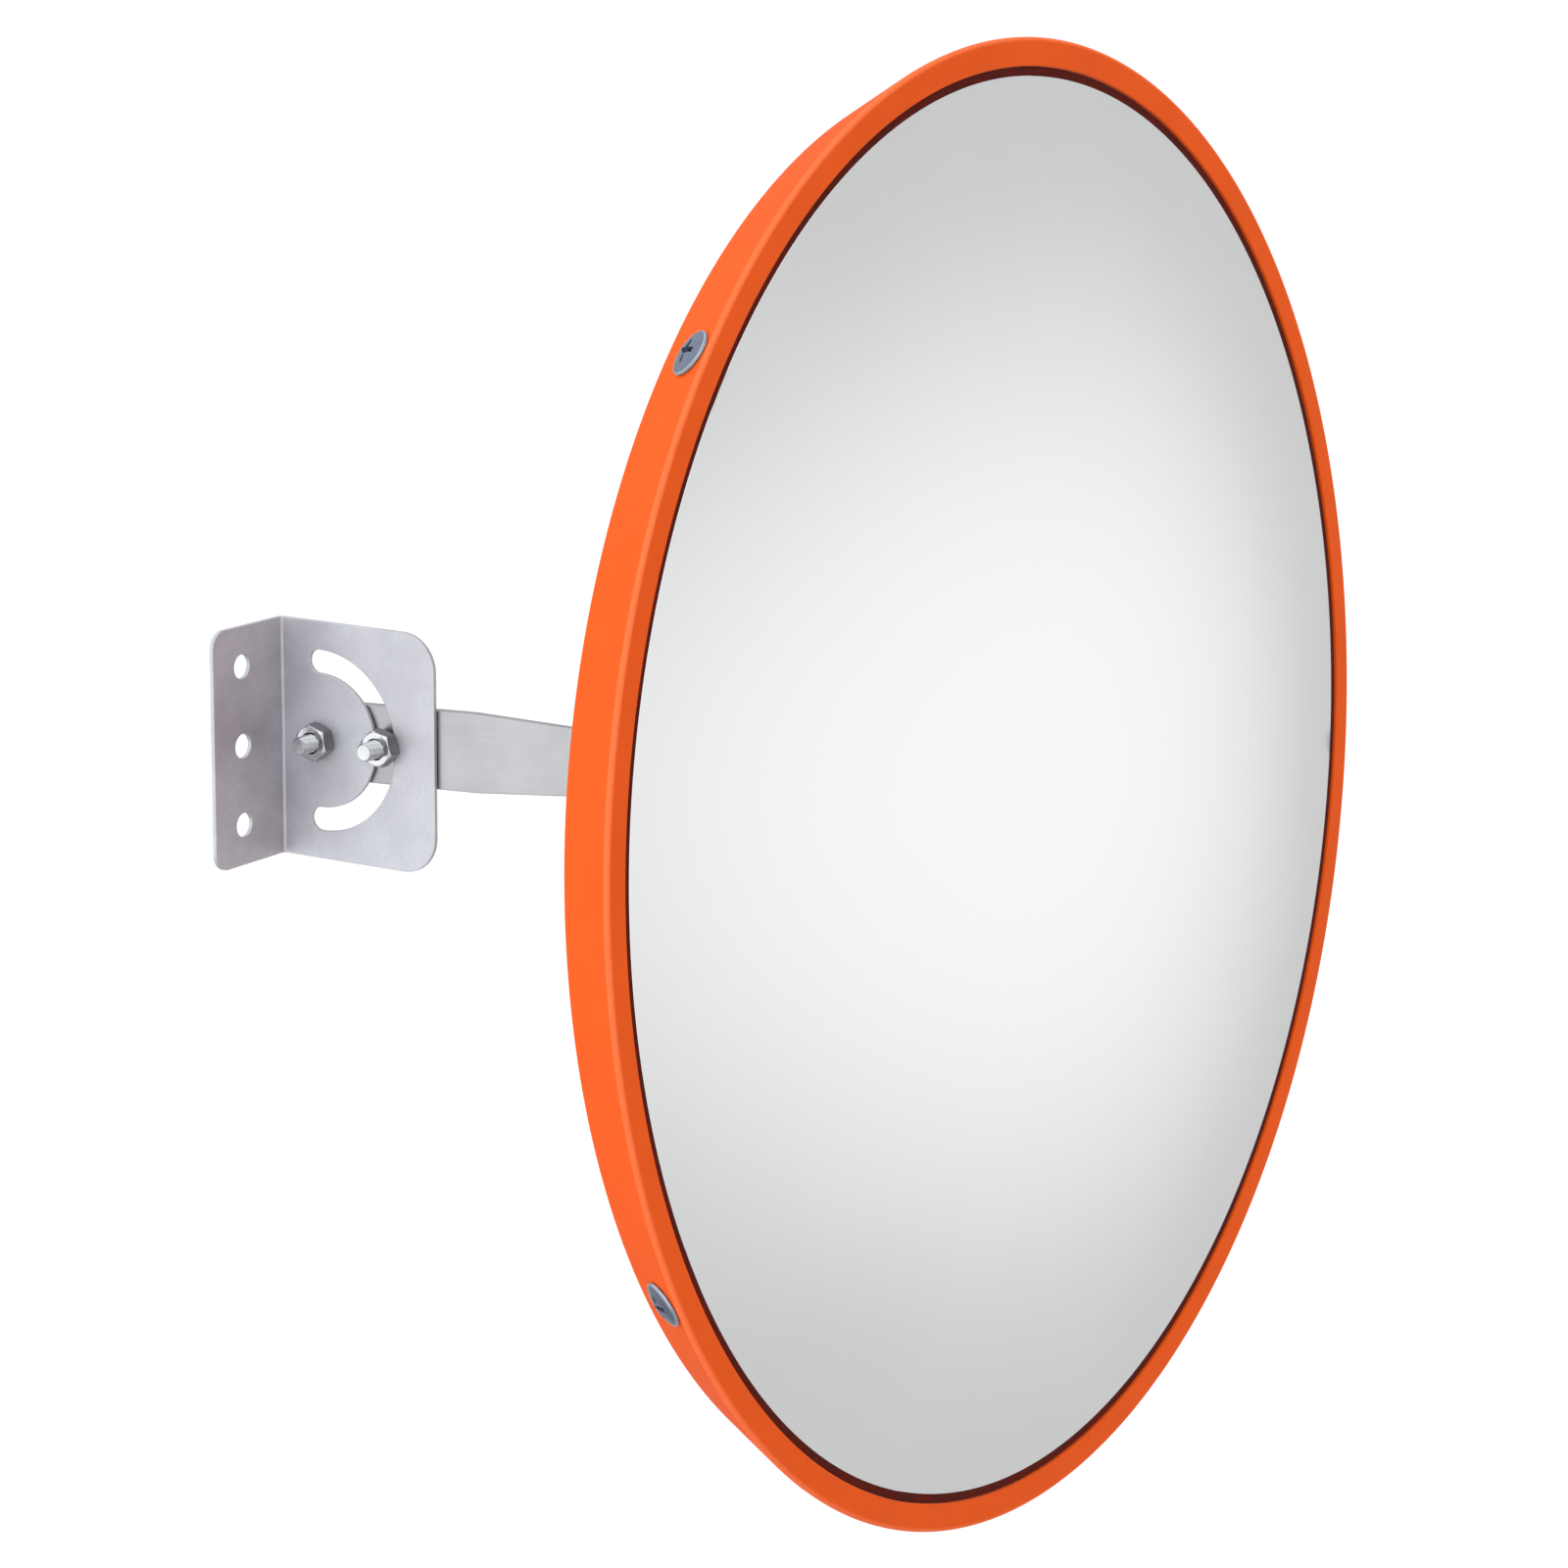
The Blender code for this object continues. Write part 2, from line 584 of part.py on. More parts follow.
def build_mirror_head(pivot):
    rim = turned_about_mirror("front_rim", front_rim_profile(), "orange_rim", pivot)
    shell = turned_about_mirror("back_shell", shell_profile(), "orange_shell", pivot)
    turned_about_mirror("rim_gasket", gasket_profile(), "dark_seal", pivot)
    turned_about_mirror("mirror_lens", lens_profile(), "mirror_face", pivot)
    half = RIM_NUT_SIDE / 2
    square = [(-half, -half), (half, -half), (half, half), (-half, half)]
    for number in range(RIM_SCREWS):
        label = number + 1
        place = rim_screw_place(number)
        drill = turned(disc_profile(RIM_SCREW_HOLE, -RIM_DRILL_DEEP, RIM_DRILL_OUT),
                       TINY_ROUND)
        cutter = add_object(f"drill_rim_{label}", drill, parent=pivot, place=place)
        boolean(rim, cutter)
        boolean(shell, cutter)
        add_object(f"rim_screw_{label}", turned(screw_profile(), SMALL_ROUND),
                   "blue_zinc", pivot, place)
        nut = add_object(f"rim_nut_{label}",
                         prism(square, -RIM_NUT_FROM - RIM_NUT_THICK, -RIM_NUT_FROM),
                         "bright_zinc", pivot, place)
        boolean(nut, add_object(f"rim_nut_bore_{label}",
                                drill_through(RIM_SCREW_HOLE, TINY_ROUND),
                                parent=pivot, place=place))
    for number, side_step in enumerate((-FOOT_SPREAD, FOOT_SPREAD), 1):
        place = Matrix.Translation((MIRROR_SIDE + side_step, 0,
                                    ARM_REACH - SHELL_DEPTH))
        boolean(shell, add_object(f"drill_shell_{number}",
                                  drill_through(FOOT_BOLT_HOLE), parent=pivot,
                                  place=place))


def pivot_frame(name, rotation):
    frame = bpy.data.objects.new(name, None)
    bpy.context.collection.objects.link(frame)
    frame.location = (HOLE_TO_BEND + PLATE, -PIVOT_OUT, 0.0)
    frame.rotation_euler = Euler((rotation, 0.0, 0.0))
    return frame


def main():
    clear_scene()
    build_bracket()
    level = pivot_frame("bracket_pivot", math.pi / 2)
    clamp_set("pivot", 0.0, level, PIVOT_NUT_TURN)
    tilted = pivot_frame("arm_pivot", math.pi / 2 - ARM_RISE)
    build_arm(tilted)
    clamp_set("guide", SLOT_RADIUS, tilted, GUIDE_NUT_TURN)
    build_foot_fasteners(tilted)
    build_mirror_head(tilted)


main()
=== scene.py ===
"""Looks of the wall-mounted convex traffic mirror.

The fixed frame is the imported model; each operator below builds one piece, or
one group of like pieces, in fine mesh with its own finish, and the last one
sets the stage.  The tilting head is modelled in its own frame: local X along
the pivot bolt, local Z from the pivot to the front of the mirror, local Y up.
"""
import json
import math

import bmesh
import bpy
from bpy.props import FloatProperty, FloatVectorProperty, IntProperty, PointerProperty
from mathutils import Matrix, Vector


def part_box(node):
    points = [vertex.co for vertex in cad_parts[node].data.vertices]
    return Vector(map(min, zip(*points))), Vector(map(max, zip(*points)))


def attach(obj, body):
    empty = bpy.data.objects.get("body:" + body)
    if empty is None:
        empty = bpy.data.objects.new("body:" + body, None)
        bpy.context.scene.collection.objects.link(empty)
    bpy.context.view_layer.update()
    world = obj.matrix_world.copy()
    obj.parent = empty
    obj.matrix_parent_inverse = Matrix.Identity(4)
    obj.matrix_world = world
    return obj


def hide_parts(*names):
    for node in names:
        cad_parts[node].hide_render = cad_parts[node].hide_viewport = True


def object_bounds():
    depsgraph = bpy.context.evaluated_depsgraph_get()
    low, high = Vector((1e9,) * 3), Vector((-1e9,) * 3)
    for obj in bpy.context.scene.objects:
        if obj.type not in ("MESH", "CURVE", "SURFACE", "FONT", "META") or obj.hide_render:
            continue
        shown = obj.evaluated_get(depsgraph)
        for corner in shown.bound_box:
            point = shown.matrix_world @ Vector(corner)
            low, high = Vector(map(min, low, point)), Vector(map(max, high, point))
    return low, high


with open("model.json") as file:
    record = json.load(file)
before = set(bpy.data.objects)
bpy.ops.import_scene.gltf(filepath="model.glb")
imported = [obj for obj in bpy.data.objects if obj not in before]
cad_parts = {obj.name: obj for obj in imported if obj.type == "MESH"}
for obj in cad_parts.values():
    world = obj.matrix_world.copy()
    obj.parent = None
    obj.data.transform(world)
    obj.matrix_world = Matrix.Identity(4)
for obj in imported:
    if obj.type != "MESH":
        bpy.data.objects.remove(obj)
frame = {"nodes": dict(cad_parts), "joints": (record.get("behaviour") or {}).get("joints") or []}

bl_info = {
    "name": "Convex traffic mirror",
    "version": (1, 0, 0),
    "blender": (4, 5, 0),
    "location": "3D View > Sidebar > Mirror",
    "description": "Builds the pieces, finishes and stage of a wall-mounted convex mirror",
    "category": "Object",
}

CAD_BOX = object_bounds()
FIXED = "bracket"
TILTING = "mirror_arm"
GAP = 0.0003                       # clearance between touching pieces
TIP_CLEAR = 0.0002                 # how far bolts stop short of their nodes' ends
FULL = 2.0 * math.pi
FLOOR_HALF = 40.0                  # half the width of the floor
FINE, CRISP, SOFT = 0.0003, 0.0005, 0.001      # roundings of the turned pieces
FLOOR_EASE = 0.001                 # height of the slope at the shell's inner floor
ROUND_STEPS = 16                   # points along a half round in an outline
BEND_LINES = 12                    # strips that a bend is made of
NUT_SIDES, BOLT_SIDES, SCREW_SIDES = 144, 96, 72
OUTER_RINGS, INNER_RINGS = 64, 40  # rings of the dome's two faces
TINY = 1e-7                        # a shorter length counts as none


# ---- what the frame says ------------------------------------------------
def node_points(node):
    """Vertices of a CAD node in the row frame."""
    return [v.co.copy() for v in frame["nodes"][node].data.vertices]


def middle(points):
    return sum(points, Vector()) / len(points)


def head_frame():
    """Matrix of the tilting head: on the hinge, local Z along the mirror's axis."""
    hinge = Vector(frame["joints"][0]["pos_m"])
    forward = middle(node_points("mirror_lens")) - hinge
    forward.x = 0.0
    forward.normalize()
    across = Vector((1.0, 0.0, 0.0))
    placed = Matrix((across, forward.cross(across), forward)).transposed().to_4x4()
    placed.translation = hinge
    return placed


HEAD = head_frame()
HEAD_INVERSE = HEAD.inverted()


def head_points(node):
    """Vertices of a CAD node in the head's frame."""
    return [HEAD_INVERSE @ point for point in node_points(node)]


def span(points, axis):
    """Lowest and highest coordinate of points along one axis."""
    values = [point[axis] for point in points]
    return min(values), max(values)


BRACKET_LOW, BRACKET_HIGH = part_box("wall_bracket")
RIM_LOW, RIM_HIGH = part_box("front_rim")
RIM_RADIUS = (RIM_HIGH.x - RIM_LOW.x) / 2
SLOT_RADIUS = middle(head_points("guide_nut")).z
REACH = span(head_points("front_rim"), 2)[1]
MIRROR_SIDE = middle(head_points("mirror_lens")).x
FRONT = Vector((MIRROR_SIDE, 0.0, REACH))          # middle of the rim's front plane


def depth_and_reach(node):
    """How far a node goes behind the front plane and out from the mirror's axis."""
    points = head_points(node)
    return REACH - span(points, 2)[0], span(points, 0)[1] - MIRROR_SIDE


SHELL_DEPTH, _ = depth_and_reach("back_shell")
FLANGE_DEPTH, FLANGE_OUT = depth_and_reach("mirror_lens")
SEAL_DEPTH, SEAL_OUT = depth_and_reach("rim_gasket")
SCREW_NODES = [name for name in sorted(frame["nodes"]) if name.startswith("rim_screw_")]


# ---- sizes and colours a user would change ------------------------------
def length(name, description, default):
    return FloatProperty(name=name, description=description, default=default,
                         min=0.0, subtype="DISTANCE", unit="LENGTH", precision=5)


def angle(name, description, degrees):
    return FloatProperty(name=name, description=description,
                         default=math.radians(degrees), subtype="ANGLE",
                         unit="ROTATION")


def colour(name, description, default):
    return FloatVectorProperty(name=name, description=description, size=3,
                               default=default, min=0.0, max=1.0, subtype="COLOR")


def number(name, description, default):
    return FloatProperty(name=name, description=description, default=default, min=0.0)


class MirrorSizes(bpy.types.PropertyGroup):
    rim_radius: length("Rim radius", "Outer radius of the rim", RIM_RADIUS)
    lip_radius: length("Lip radius", "Inner radius of the rim's flat lip", 0.2164)
    lip_thickness: length("Lip thickness", "Thickness of the flat lip", 0.002)
    lip_round: length("Lip rounding", "Rounding of the lip's outer corner", 0.0012)
    side_taper: number("Side taper", "Fall of radius per depth along the side", 0.5525)
    side_depth: length("Side depth", "Front plane to the rim's back edge", 0.0219)
    rim_wall: length("Rim wall", "Thickness of the rim's side wall", 0.002)
    shell_wall: length("Shell wall", "Thickness of the wall inside the rim", 0.0016)
    shell_back: length("Shell back", "Thickness of the shell's back", 0.002)
    shell_depth: length("Shell depth", "Front plane to the mounting pad", SHELL_DEPTH)
    shell_slope: length("Shell slope", "Fall of the shell's inside corners", 0.0008)
    pad_radius: length("Pad radius", "Radius of the flat mounting pad", 0.070)
    ledge_depth: length("Ledge depth", "Front plane to the shell's ledge", 0.0232)
    ledge_outer: length("Ledge outside", "Outer radius of the ledge", 0.209)
    ledge_inner: length("Ledge inside", "Inner radius of the ledge", 0.190)
    cone_inner: length("Cone inside", "Inner radius of the cone", 0.075)
    cone_depth: length("Cone depth", "Front plane to the cone's inner end", 0.038)
    rib_outer: length("Rib outside", "Outer radius of the mirror's rib", 0.208)
    rib_inner: length("Rib inside", "Inner radius of the mirror's rib", 0.206)
    rib_front: length("Rib front", "Front plane to the rib's edge", 0.0013)
    lens_edge: length("Mirror radius", "Radius of the dome's edge", 0.2135)
    lens_sink: length("Mirror sink", "Dome's edge behind the front plane", 0.0009)
    lens_rise: length("Mirror rise", "Height of the dome over its edge", 0.0379)
    lens_thickness: length("Mirror thickness", "Thickness of the dome", 0.0025)
    flange: length("Flange", "Thickness of the mirror's flange", 0.0013)
    turns: IntProperty(name="Turned sides", description="Sides of the turned pieces",
                       default=288, min=24)


class BracketSizes(bpy.types.PropertyGroup):
    plate: length("Plate", "Thickness of the bracket's sheet", 0.0015)
    bend: length("Bend radius", "Inner radius of the bend", 0.001)
    wall_corner: length("Wall corner", "Corner radius of the wall leg", 0.006)
    arm_corner: length("Arm corner", "Corner radius of the arm leg", 0.0125)
    screw_hole: length("Screw hole", "Radius of the wall screw holes", 0.004)
    screw_pitch: length("Hole pitch", "Distance between the wall screw holes", 0.0262)
    slot_half: length("Slot half width", "Half the width of the arc slot", 0.0039)
    slot_sweep: angle("Slot sweep", "Each side of level that the slot runs", 90.0)
    bolt_hole: length("Bolt hole", "Radius of the clamp bolt holes", 0.0034)
    edge: length("Edge rounding", "Rounding of the cut edges", 0.00025)


class ArmSizes(bpy.types.PropertyGroup):
    thickness: length("Thickness", "Thickness of the bar", 0.003)
    half_width: length("Half width", "Half the bar's width at the bracket", 0.013)
    taper_from: length("Taper from", "Pivot to where the bar starts to narrow", 0.060)
    taper_to: length("Taper to", "Pivot to where the bar is at its narrowest", 0.137)
    tip_half: length("Tip half width", "Half the width of the narrow end", 0.009)
    bend: length("Bend radius", "Inner radius of the bend at the foot", 0.002)
    corner: length("Foot corner", "Corner radius of the foot's free end", 0.004)
    foot_hole: length("Foot hole", "Radius of the foot bolt holes", 0.0028)
    foot_spread: length("Foot spread", "Foot bolts either side of the axis", 0.010)
    edge: length("Edge rounding", "Rounding of the bar's edges", 0.0004)


class FastenerSizes(bpy.types.PropertyGroup):
    clamp_shank: length("Clamp bolt", "Radius of the clamp bolts' shanks", 0.0031)
    clamp_flat: length("Clamp nut", "Half the width across a clamp nut's flats", 0.0055)
    clamp_pitch: length("Clamp thread pitch", "Thread pitch of the clamp bolts", 0.00115)
    clamp_washer: length("Clamp washer", "Radius of the clamp washers", 0.0070)
    foot_shank: length("Foot bolt", "Radius of the foot bolts' shanks", 0.0025)
    foot_flat: length("Foot nut", "Half the width across a foot nut's flats", 0.004)
    foot_head: length("Foot bolt head", "Height of the foot bolts' heads", 0.0035)
    foot_washer: length("Foot washer", "Radius of the foot washers", 0.0050)
    foot_pitch: length("Foot thread pitch", "Thread pitch of the foot bolts", 0.0008)
    screw_pitch: length("Screw pitch", "Thread pitch of the rim screws", 0.0008)
    screw_shank: length("Screw shank", "Radius of the rim screws' shanks", 0.0024)
    screw_length: length("Screw length", "Side of the rim to the screw's tip", 0.005)
    screw_edge: length("Head edge", "Height of the head's upright edge", 0.0007)
    screw_crown: length("Head crown", "Height of the head's crown", 0.0021)
    screw_head: length("Screw head", "Radius of the rim screws' heads", 0.007)
    cross_reach: length("Cross reach", "Half the length of the cross recess", 0.0046)
    cross_half: length("Cross half width", "Half the width of the cross's arms", 0.00085)
    cross_depth: length("Cross depth", "Depth of the cross recess", 0.0022)


class MirrorColours(bpy.types.PropertyGroup):
    rim: colour("Rim", "Moulded orange of the rim", (0.85, 0.106, 0.012))
    shell: colour("Shell", "Moulded orange of the back shell", (0.84, 0.110, 0.014))
    # The seal's dark red-brown is the rim's orange in shade: a real seal piece that also carries
    # painted shade for the lip's shadowed inner wall.
    seal: colour("Seal", "Dark red-brown seal", (0.085, 0.0075, 0.003))
    mirror: colour("Mirror", "Silvered mirror face", (0.93, 0.935, 0.94))
    sheet: colour("Sheet steel", "Zinc-coated bracket sheet", (0.53, 0.545, 0.588))
    bar: colour("Bar steel", "Plated arm", (0.40, 0.405, 0.42))
    bright: colour("Bright zinc", "Bolts, nuts and washers", (0.55, 0.56, 0.58))
    blue: colour("Blue zinc", "Rim screws", (0.15, 0.18, 0.25))


class StageSettings(bpy.types.PropertyGroup):
    lens: FloatProperty(name="Lens", description="Camera's focal length in millimetres",
                        default=112.5, min=10.0)
    camera_azimuth: angle("Camera azimuth", "Camera's bearing from straight ahead", -58.12)
    camera_height: angle("Camera elevation", "Camera's angle over level", 12.81)
    camera_roll: angle("Camera roll", "Camera's roll", 0.42)
    camera_place: FloatVectorProperty(
        name="Camera place", description="Where the camera stands", size=3,
        default=(-1.22235, -0.9678, 0.3408), subtype="TRANSLATION", unit="LENGTH")
    floor_drop: length("Floor drop", "Floor below the mirror's lowest point", 0.40)
    floor_colour: colour("Floor", "Pale floor", (0.97, 0.97, 0.972))
    dim: number("Dim side", "Strength of the room's light from in front", 0.62)
    bright: number("Bright side", "Strength of the light from the side and above", 1.30)
    glow: number("Glow", "Strength of the soft glow that the mirror shows", 0.41)
    glow_width: number("Glow width", "How far the glow spreads sideways", 0.83)
    glow_height: number("Glow height", "How far the glow spreads up and down", 0.44)
    key: number("Key light", "Power of the side light, in watts", 6.0)
    top: number("Top light", "Power of the overhead light, in watts", 6.0)


GROUPS = {
    "cm_mirror": MirrorSizes,
    "cm_bracket": BracketSizes,
    "cm_arm": ArmSizes,
    "cm_fasteners": FastenerSizes,
    "cm_colours": MirrorColours,
    "cm_stage": StageSettings,
}


# ---- outlines and profiles ----------------------------------------------
def arc(centre, radius, start, end, steps):
    """Points of an arc, both ends included."""
    points = []
    for step in range(steps + 1):
        turn = start + (end - start) * step / steps
        points.append((centre[0] + radius * math.cos(turn),
                       centre[1] + radius * math.sin(turn)))
    return points


def circle(centre, radius, steps=48):
    return arc(centre, radius, 0.0, FULL, steps)[:-1]


def soften(corners, steps=5):
    """Round a closed outline's corners; each corner is (x, y, radius)."""
    outline = []
    count = len(corners)
    for index, (x, y, radius) in enumerate(corners):
        here = Vector((x, y))
        if radius <= 0.0:
            outline.append((x, y))
            continue
        back = Vector(corners[index - 1][:2]) - here
        ahead = Vector(corners[(index + 1) % count][:2]) - here
        opening = back.angle(ahead)
        back.normalize()
        ahead.normalize()
        centre = here + (back + ahead).normalized() * radius / math.sin(opening / 2)
        run = radius / math.tan(opening / 2)
        first = here + back * run - centre
        last = here + ahead * run - centre
        start = math.atan2(first.y, first.x)
        sweep = math.atan2(last.y, last.x) - start
        sweep = (sweep + math.pi) % FULL - math.pi
        outline += arc(centre, radius, start, start + sweep, steps)
    return outline


def dome(sphere, centre, edge, steps):
    """Spherical cap from its edge to the axis, as (radius, height)."""
    half = math.asin(edge / sphere)
    return [(sphere * math.sin(half * (1 - step / steps)),
             sphere * math.cos(half * (1 - step / steps)) - centre)
            for step in range(steps + 1)]


# ---- meshes -------------------------------------------------------------
def shown(name, data):
    """An object of the data, linked to the scene."""
    made = bpy.data.objects.new(name, data)
    bpy.context.scene.collection.objects.link(made)
    return made


def revolve(profile_at, sides):
    """Turn a closed profile about local Z.

    profile_at gives the (radius, height) points at an angle, always the same
    number of them.  Points on the axis become single poles.
    """
    bm = bmesh.new()
    columns = [profile_at(FULL * k / sides) for k in range(sides)]
    rings = []
    for index, (radius, height) in enumerate(columns[0]):
        if radius < TINY:
            rings.append([bm.verts.new((0.0, 0.0, height))])
            continue
        ring = []
        for k, column in enumerate(columns):
            turn = FULL * k / sides
            radius, height = column[index]
            ring.append(bm.verts.new((radius * math.cos(turn),
                                      radius * math.sin(turn), height)))
        rings.append(ring)
    for near, far in zip(rings, rings[1:] + rings[:1]):
        if len(near) == 1 and len(far) == 1:
            continue
        for k in range(sides):
            corners = [near[k % len(near)], near[(k + 1) % len(near)],
                       far[(k + 1) % len(far)], far[k % len(far)]]
            bm.faces.new(list(dict.fromkeys(corners)))
    return bm


def turned(profile, sides):
    return revolve(lambda turn: profile, sides)


def as_mesh(name, bm, sharp=35.0):
    bmesh.ops.recalc_face_normals(bm, faces=bm.faces)
    mesh = bpy.data.meshes.new(name)
    bm.to_mesh(mesh)
    bm.free()
    mesh.shade_smooth()
    mesh.set_sharp_from_angle(angle=math.radians(sharp))
    return mesh


def sheet_blank(outline, holes, thickness, edge):
    """Flat blank in local XY with rounded cut edges, centred on z = 0."""
    curve = bpy.data.curves.new("blank", "CURVE")
    curve.dimensions = "2D"
    curve.fill_mode = "BOTH"
    curve.extrude = thickness / 2 - edge
    curve.bevel_depth = edge
    curve.bevel_resolution = 2
    curve.offset = -edge
    for points in [outline] + holes:
        spline = curve.splines.new("POLY")
        spline.points.add(len(points) - 1)
        for point, (x, y) in zip(spline.points, points):
            point.co = (x, y, 0.0, 1.0)
        spline.use_cyclic_u = True
    holder = shown("blank", curve)
    bpy.context.view_layer.update()
    shape = holder.evaluated_get(bpy.context.evaluated_depsgraph_get())
    bm = bmesh.new()
    bm.from_mesh(shape.to_mesh())
    bpy.data.objects.remove(holder, do_unlink=True)
    bpy.data.curves.remove(curve)
    bmesh.ops.remove_doubles(bm, verts=bm.verts, dist=10 * TINY)
    return bm


# ---- finishes -----------------------------------------------------------
class Nodes:
    """Adds linked nodes to a material's or a world's tree."""

    def __init__(self, tree):
        self.tree = tree

    def node(self, kind, links=(), **settings):
        made = self.tree.nodes.new(kind)
        for name, value in settings.items():
            setattr(made, name, value)
        for socket, value in links:
            if isinstance(value, bpy.types.NodeSocket):
                self.tree.links.new(value, made.inputs[socket])
            else:
                made.inputs[socket].default_value = value
        return made

    def remap(self, value, low, high, to_low=0.0, to_high=1.0, **settings):
        settings = {"interpolation_type": "SMOOTHSTEP", **settings}
        return self.node("ShaderNodeMapRange",
                         [("Value", value), ("From Min", low), ("From Max", high),
                          ("To Min", to_low), ("To Max", to_high)],
                         **settings).outputs[0]

    def maths(self, operation, first, second=0.0):
        return self.node("ShaderNodeMath", [(0, first), (1, second)],
                         operation=operation).outputs[0]


def tinted(base, *tint):
    return tuple(min(1.0, channel * part) for channel, part in zip(base, tint))


def scaled(base, factor):
    return tinted(base, factor, factor, factor)


class Finish(Nodes):
    """A material whose nodes read the piece's own coordinates, in metres."""

    def __init__(self, name, metallic=0.0, **uniform):
        self.material = bpy.data.materials.new(name)
        self.material.use_nodes = True
        super().__init__(self.material.node_tree)
        self.shader = self.tree.nodes["Principled BSDF"]
        for socket, value in {"Metallic": metallic, **uniform}.items():
            self.shader.inputs[socket.replace("_", " ")].default_value = value
        corners = self.node("ShaderNodeTexCoord")
        self.place = corners.outputs["Object"]
        self.facing = corners.outputs["Normal"]

    def noise(self, size, detail=3.0, rough=0.55, stretch=None):
        """Noise from 0 to 1 with features of about the given size."""
        place = self.place
        if stretch:
            place = self.node("ShaderNodeMapping",
                              [("Vector", place), ("Scale", stretch)]).outputs[0]
        return self.node("ShaderNodeTexNoise",
                         [("Vector", place), ("Scale", 1.0 / size),
                          ("Detail", detail), ("Roughness", rough)]).outputs[0]

    def blend(self, factor, first, second):
        """Mix two colours; factor runs from the first to the second."""
        first, second = (value if isinstance(value, bpy.types.NodeSocket)
                         else (*value[:3], 1.0) for value in (first, second))
        return self.node("ShaderNodeMix", [(0, factor), (6, first), (7, second)],
                         data_type="RGBA").outputs[2]

    def clouded(self, pattern, low, high, base, darkest, lightest=1.0):
        """The base colour, from darkest to lightest over a pattern."""
        return self.blend(self.remap(pattern, low, high), scaled(base, darkest),
                          scaled(base, lightest))

    def marked(self, tone, pattern, low, high, strength, mark):
        """A tone with marks in another colour where a pattern is high."""
        return self.blend(self.remap(pattern, low, high, 0.0, strength), tone, mark)

    def split(self, vector):
        return self.node("ShaderNodeSeparateXYZ", [(0, vector)]).outputs

    def radius(self, centre=0.0):
        """Distance from the line along local Z through x = centre."""
        x, y, z = self.split(self.place)
        side = self.maths("SUBTRACT", x, centre)
        return self.maths("SQRT", self.maths(
            "ADD", self.maths("MULTIPLY", side, side), self.maths("MULTIPLY", y, y)))

    def finish(self, tone, roughness, *layers):
        """Set the colour, the roughness as (pattern, low, high, to low, to high)
        or a value, and bump from (height, depth) layers, the first undermost."""
        if isinstance(roughness, tuple):
            roughness = self.remap(*roughness)
        normal = None
        for height, depth in layers:
            links = [("Height", height), ("Distance", depth), ("Strength", 1.0)]
            if normal:
                links.append(("Normal", normal))
            normal = self.node("ShaderNodeBump", links).outputs[0]
        for socket, value in (("Base Color", tone), ("Roughness", roughness),
                              ("Normal", normal)):
            if value:
                self.tree.links.new(value, self.shader.inputs[socket])
        return self.material


def zinc_sheet(name, base):
    """Rolled steel with a fine zinc coat: cloudy grain, rolling lines, rubs."""
    made = Finish(name, metallic=0.65, Specular_IOR_Level=0.3)
    clouds = made.noise(0.016, 4.0)
    flakes = made.noise(0.0011, 5.0, 0.7)
    rolling = made.noise(0.0009, 4.0, 0.6, stretch=(1.0, 1.0, 0.035))
    rubs = made.noise(0.005, 6.0, 0.75, stretch=(0.25, 0.25, 1.0))
    tone = made.clouded(clouds, 0.32, 0.68, base, 0.90, 1.07)
    tone = made.marked(tone, flakes, 0.38, 0.66, 0.35, tinted(base, 0.86, 0.87, 0.90))
    tone = made.marked(tone, rubs, 0.62, 0.78, 0.5, scaled(base, 1.16))
    roughness = made.maths("ADD", made.remap(clouds, 0.3, 0.7, 0.38, 0.48),
                           made.remap(flakes, 0.35, 0.65, 0.0, 0.10))
    return made.finish(tone, roughness, (rolling, 0.000010), (flakes, 0.000014))


def plated_bar(name, base):
    """Drawn flat bar, plated: long faint draw lines and a few rubs."""
    made = Finish(name, metallic=1.0)
    lines = made.noise(0.0006, 4.0, 0.65, stretch=(1.0, 1.0, 0.02))
    clouds = made.noise(0.022, 3.0)
    specks = made.noise(0.0008, 4.0, 0.7)
    tone = made.clouded(clouds, 0.3, 0.7, base, 0.94, 1.05)
    tone = made.marked(tone, specks, 0.60, 0.75, 0.4, scaled(base, 0.82))
    return made.finish(tone, (lines, 0.3, 0.7, 0.34, 0.42),
                       (lines, 0.000003), (specks, 0.000004))


def bright_zinc(name, base, darkest=0.34, rim=None):
    """Bright plated hardware, pitted, with painted shade by facing: sides across the piece's
    axis take darkest times the base, faces and chamfers keep the brighter tone.

    rim is the radius about the piece's own axis past which the colour turns
    to a lighter grey-blue ring.
    """
    made = Finish(name, metallic=1.0)
    clouds = made.noise(0.0035, 4.0, 0.6)
    pits = made.noise(0.00035, 4.0, 0.7)
    # Painted shade: the base colour follows the facing in the piece's own frame; faces across
    # its axis (the sides) take darkest times the base, faces along it keep the full tone.
    along_axis = made.maths("ABSOLUTE", made.split(made.facing)[2])
    tone = made.clouded(clouds, 0.35, 0.65, base, 0.93, 1.06)
    side_shade = made.clouded(clouds, 0.40, 0.62, base, darkest, darkest * 1.25)
    tone = made.blend(made.remap(along_axis, 0.20, 0.85), side_shade, tone)
    tone = made.marked(tone, pits, 0.62, 0.74, 0.5, scaled(base, 0.5))
    if rim:
        edge_ring = (0.40, 0.43, 0.49)
        tone = made.marked(tone, made.radius(), rim - 0.0004, rim, 1.0, edge_ring)
    return made.finish(tone, (clouds, 0.3, 0.7, 0.12, 0.24),
                       (clouds, 0.000008), (pits, 0.000003))


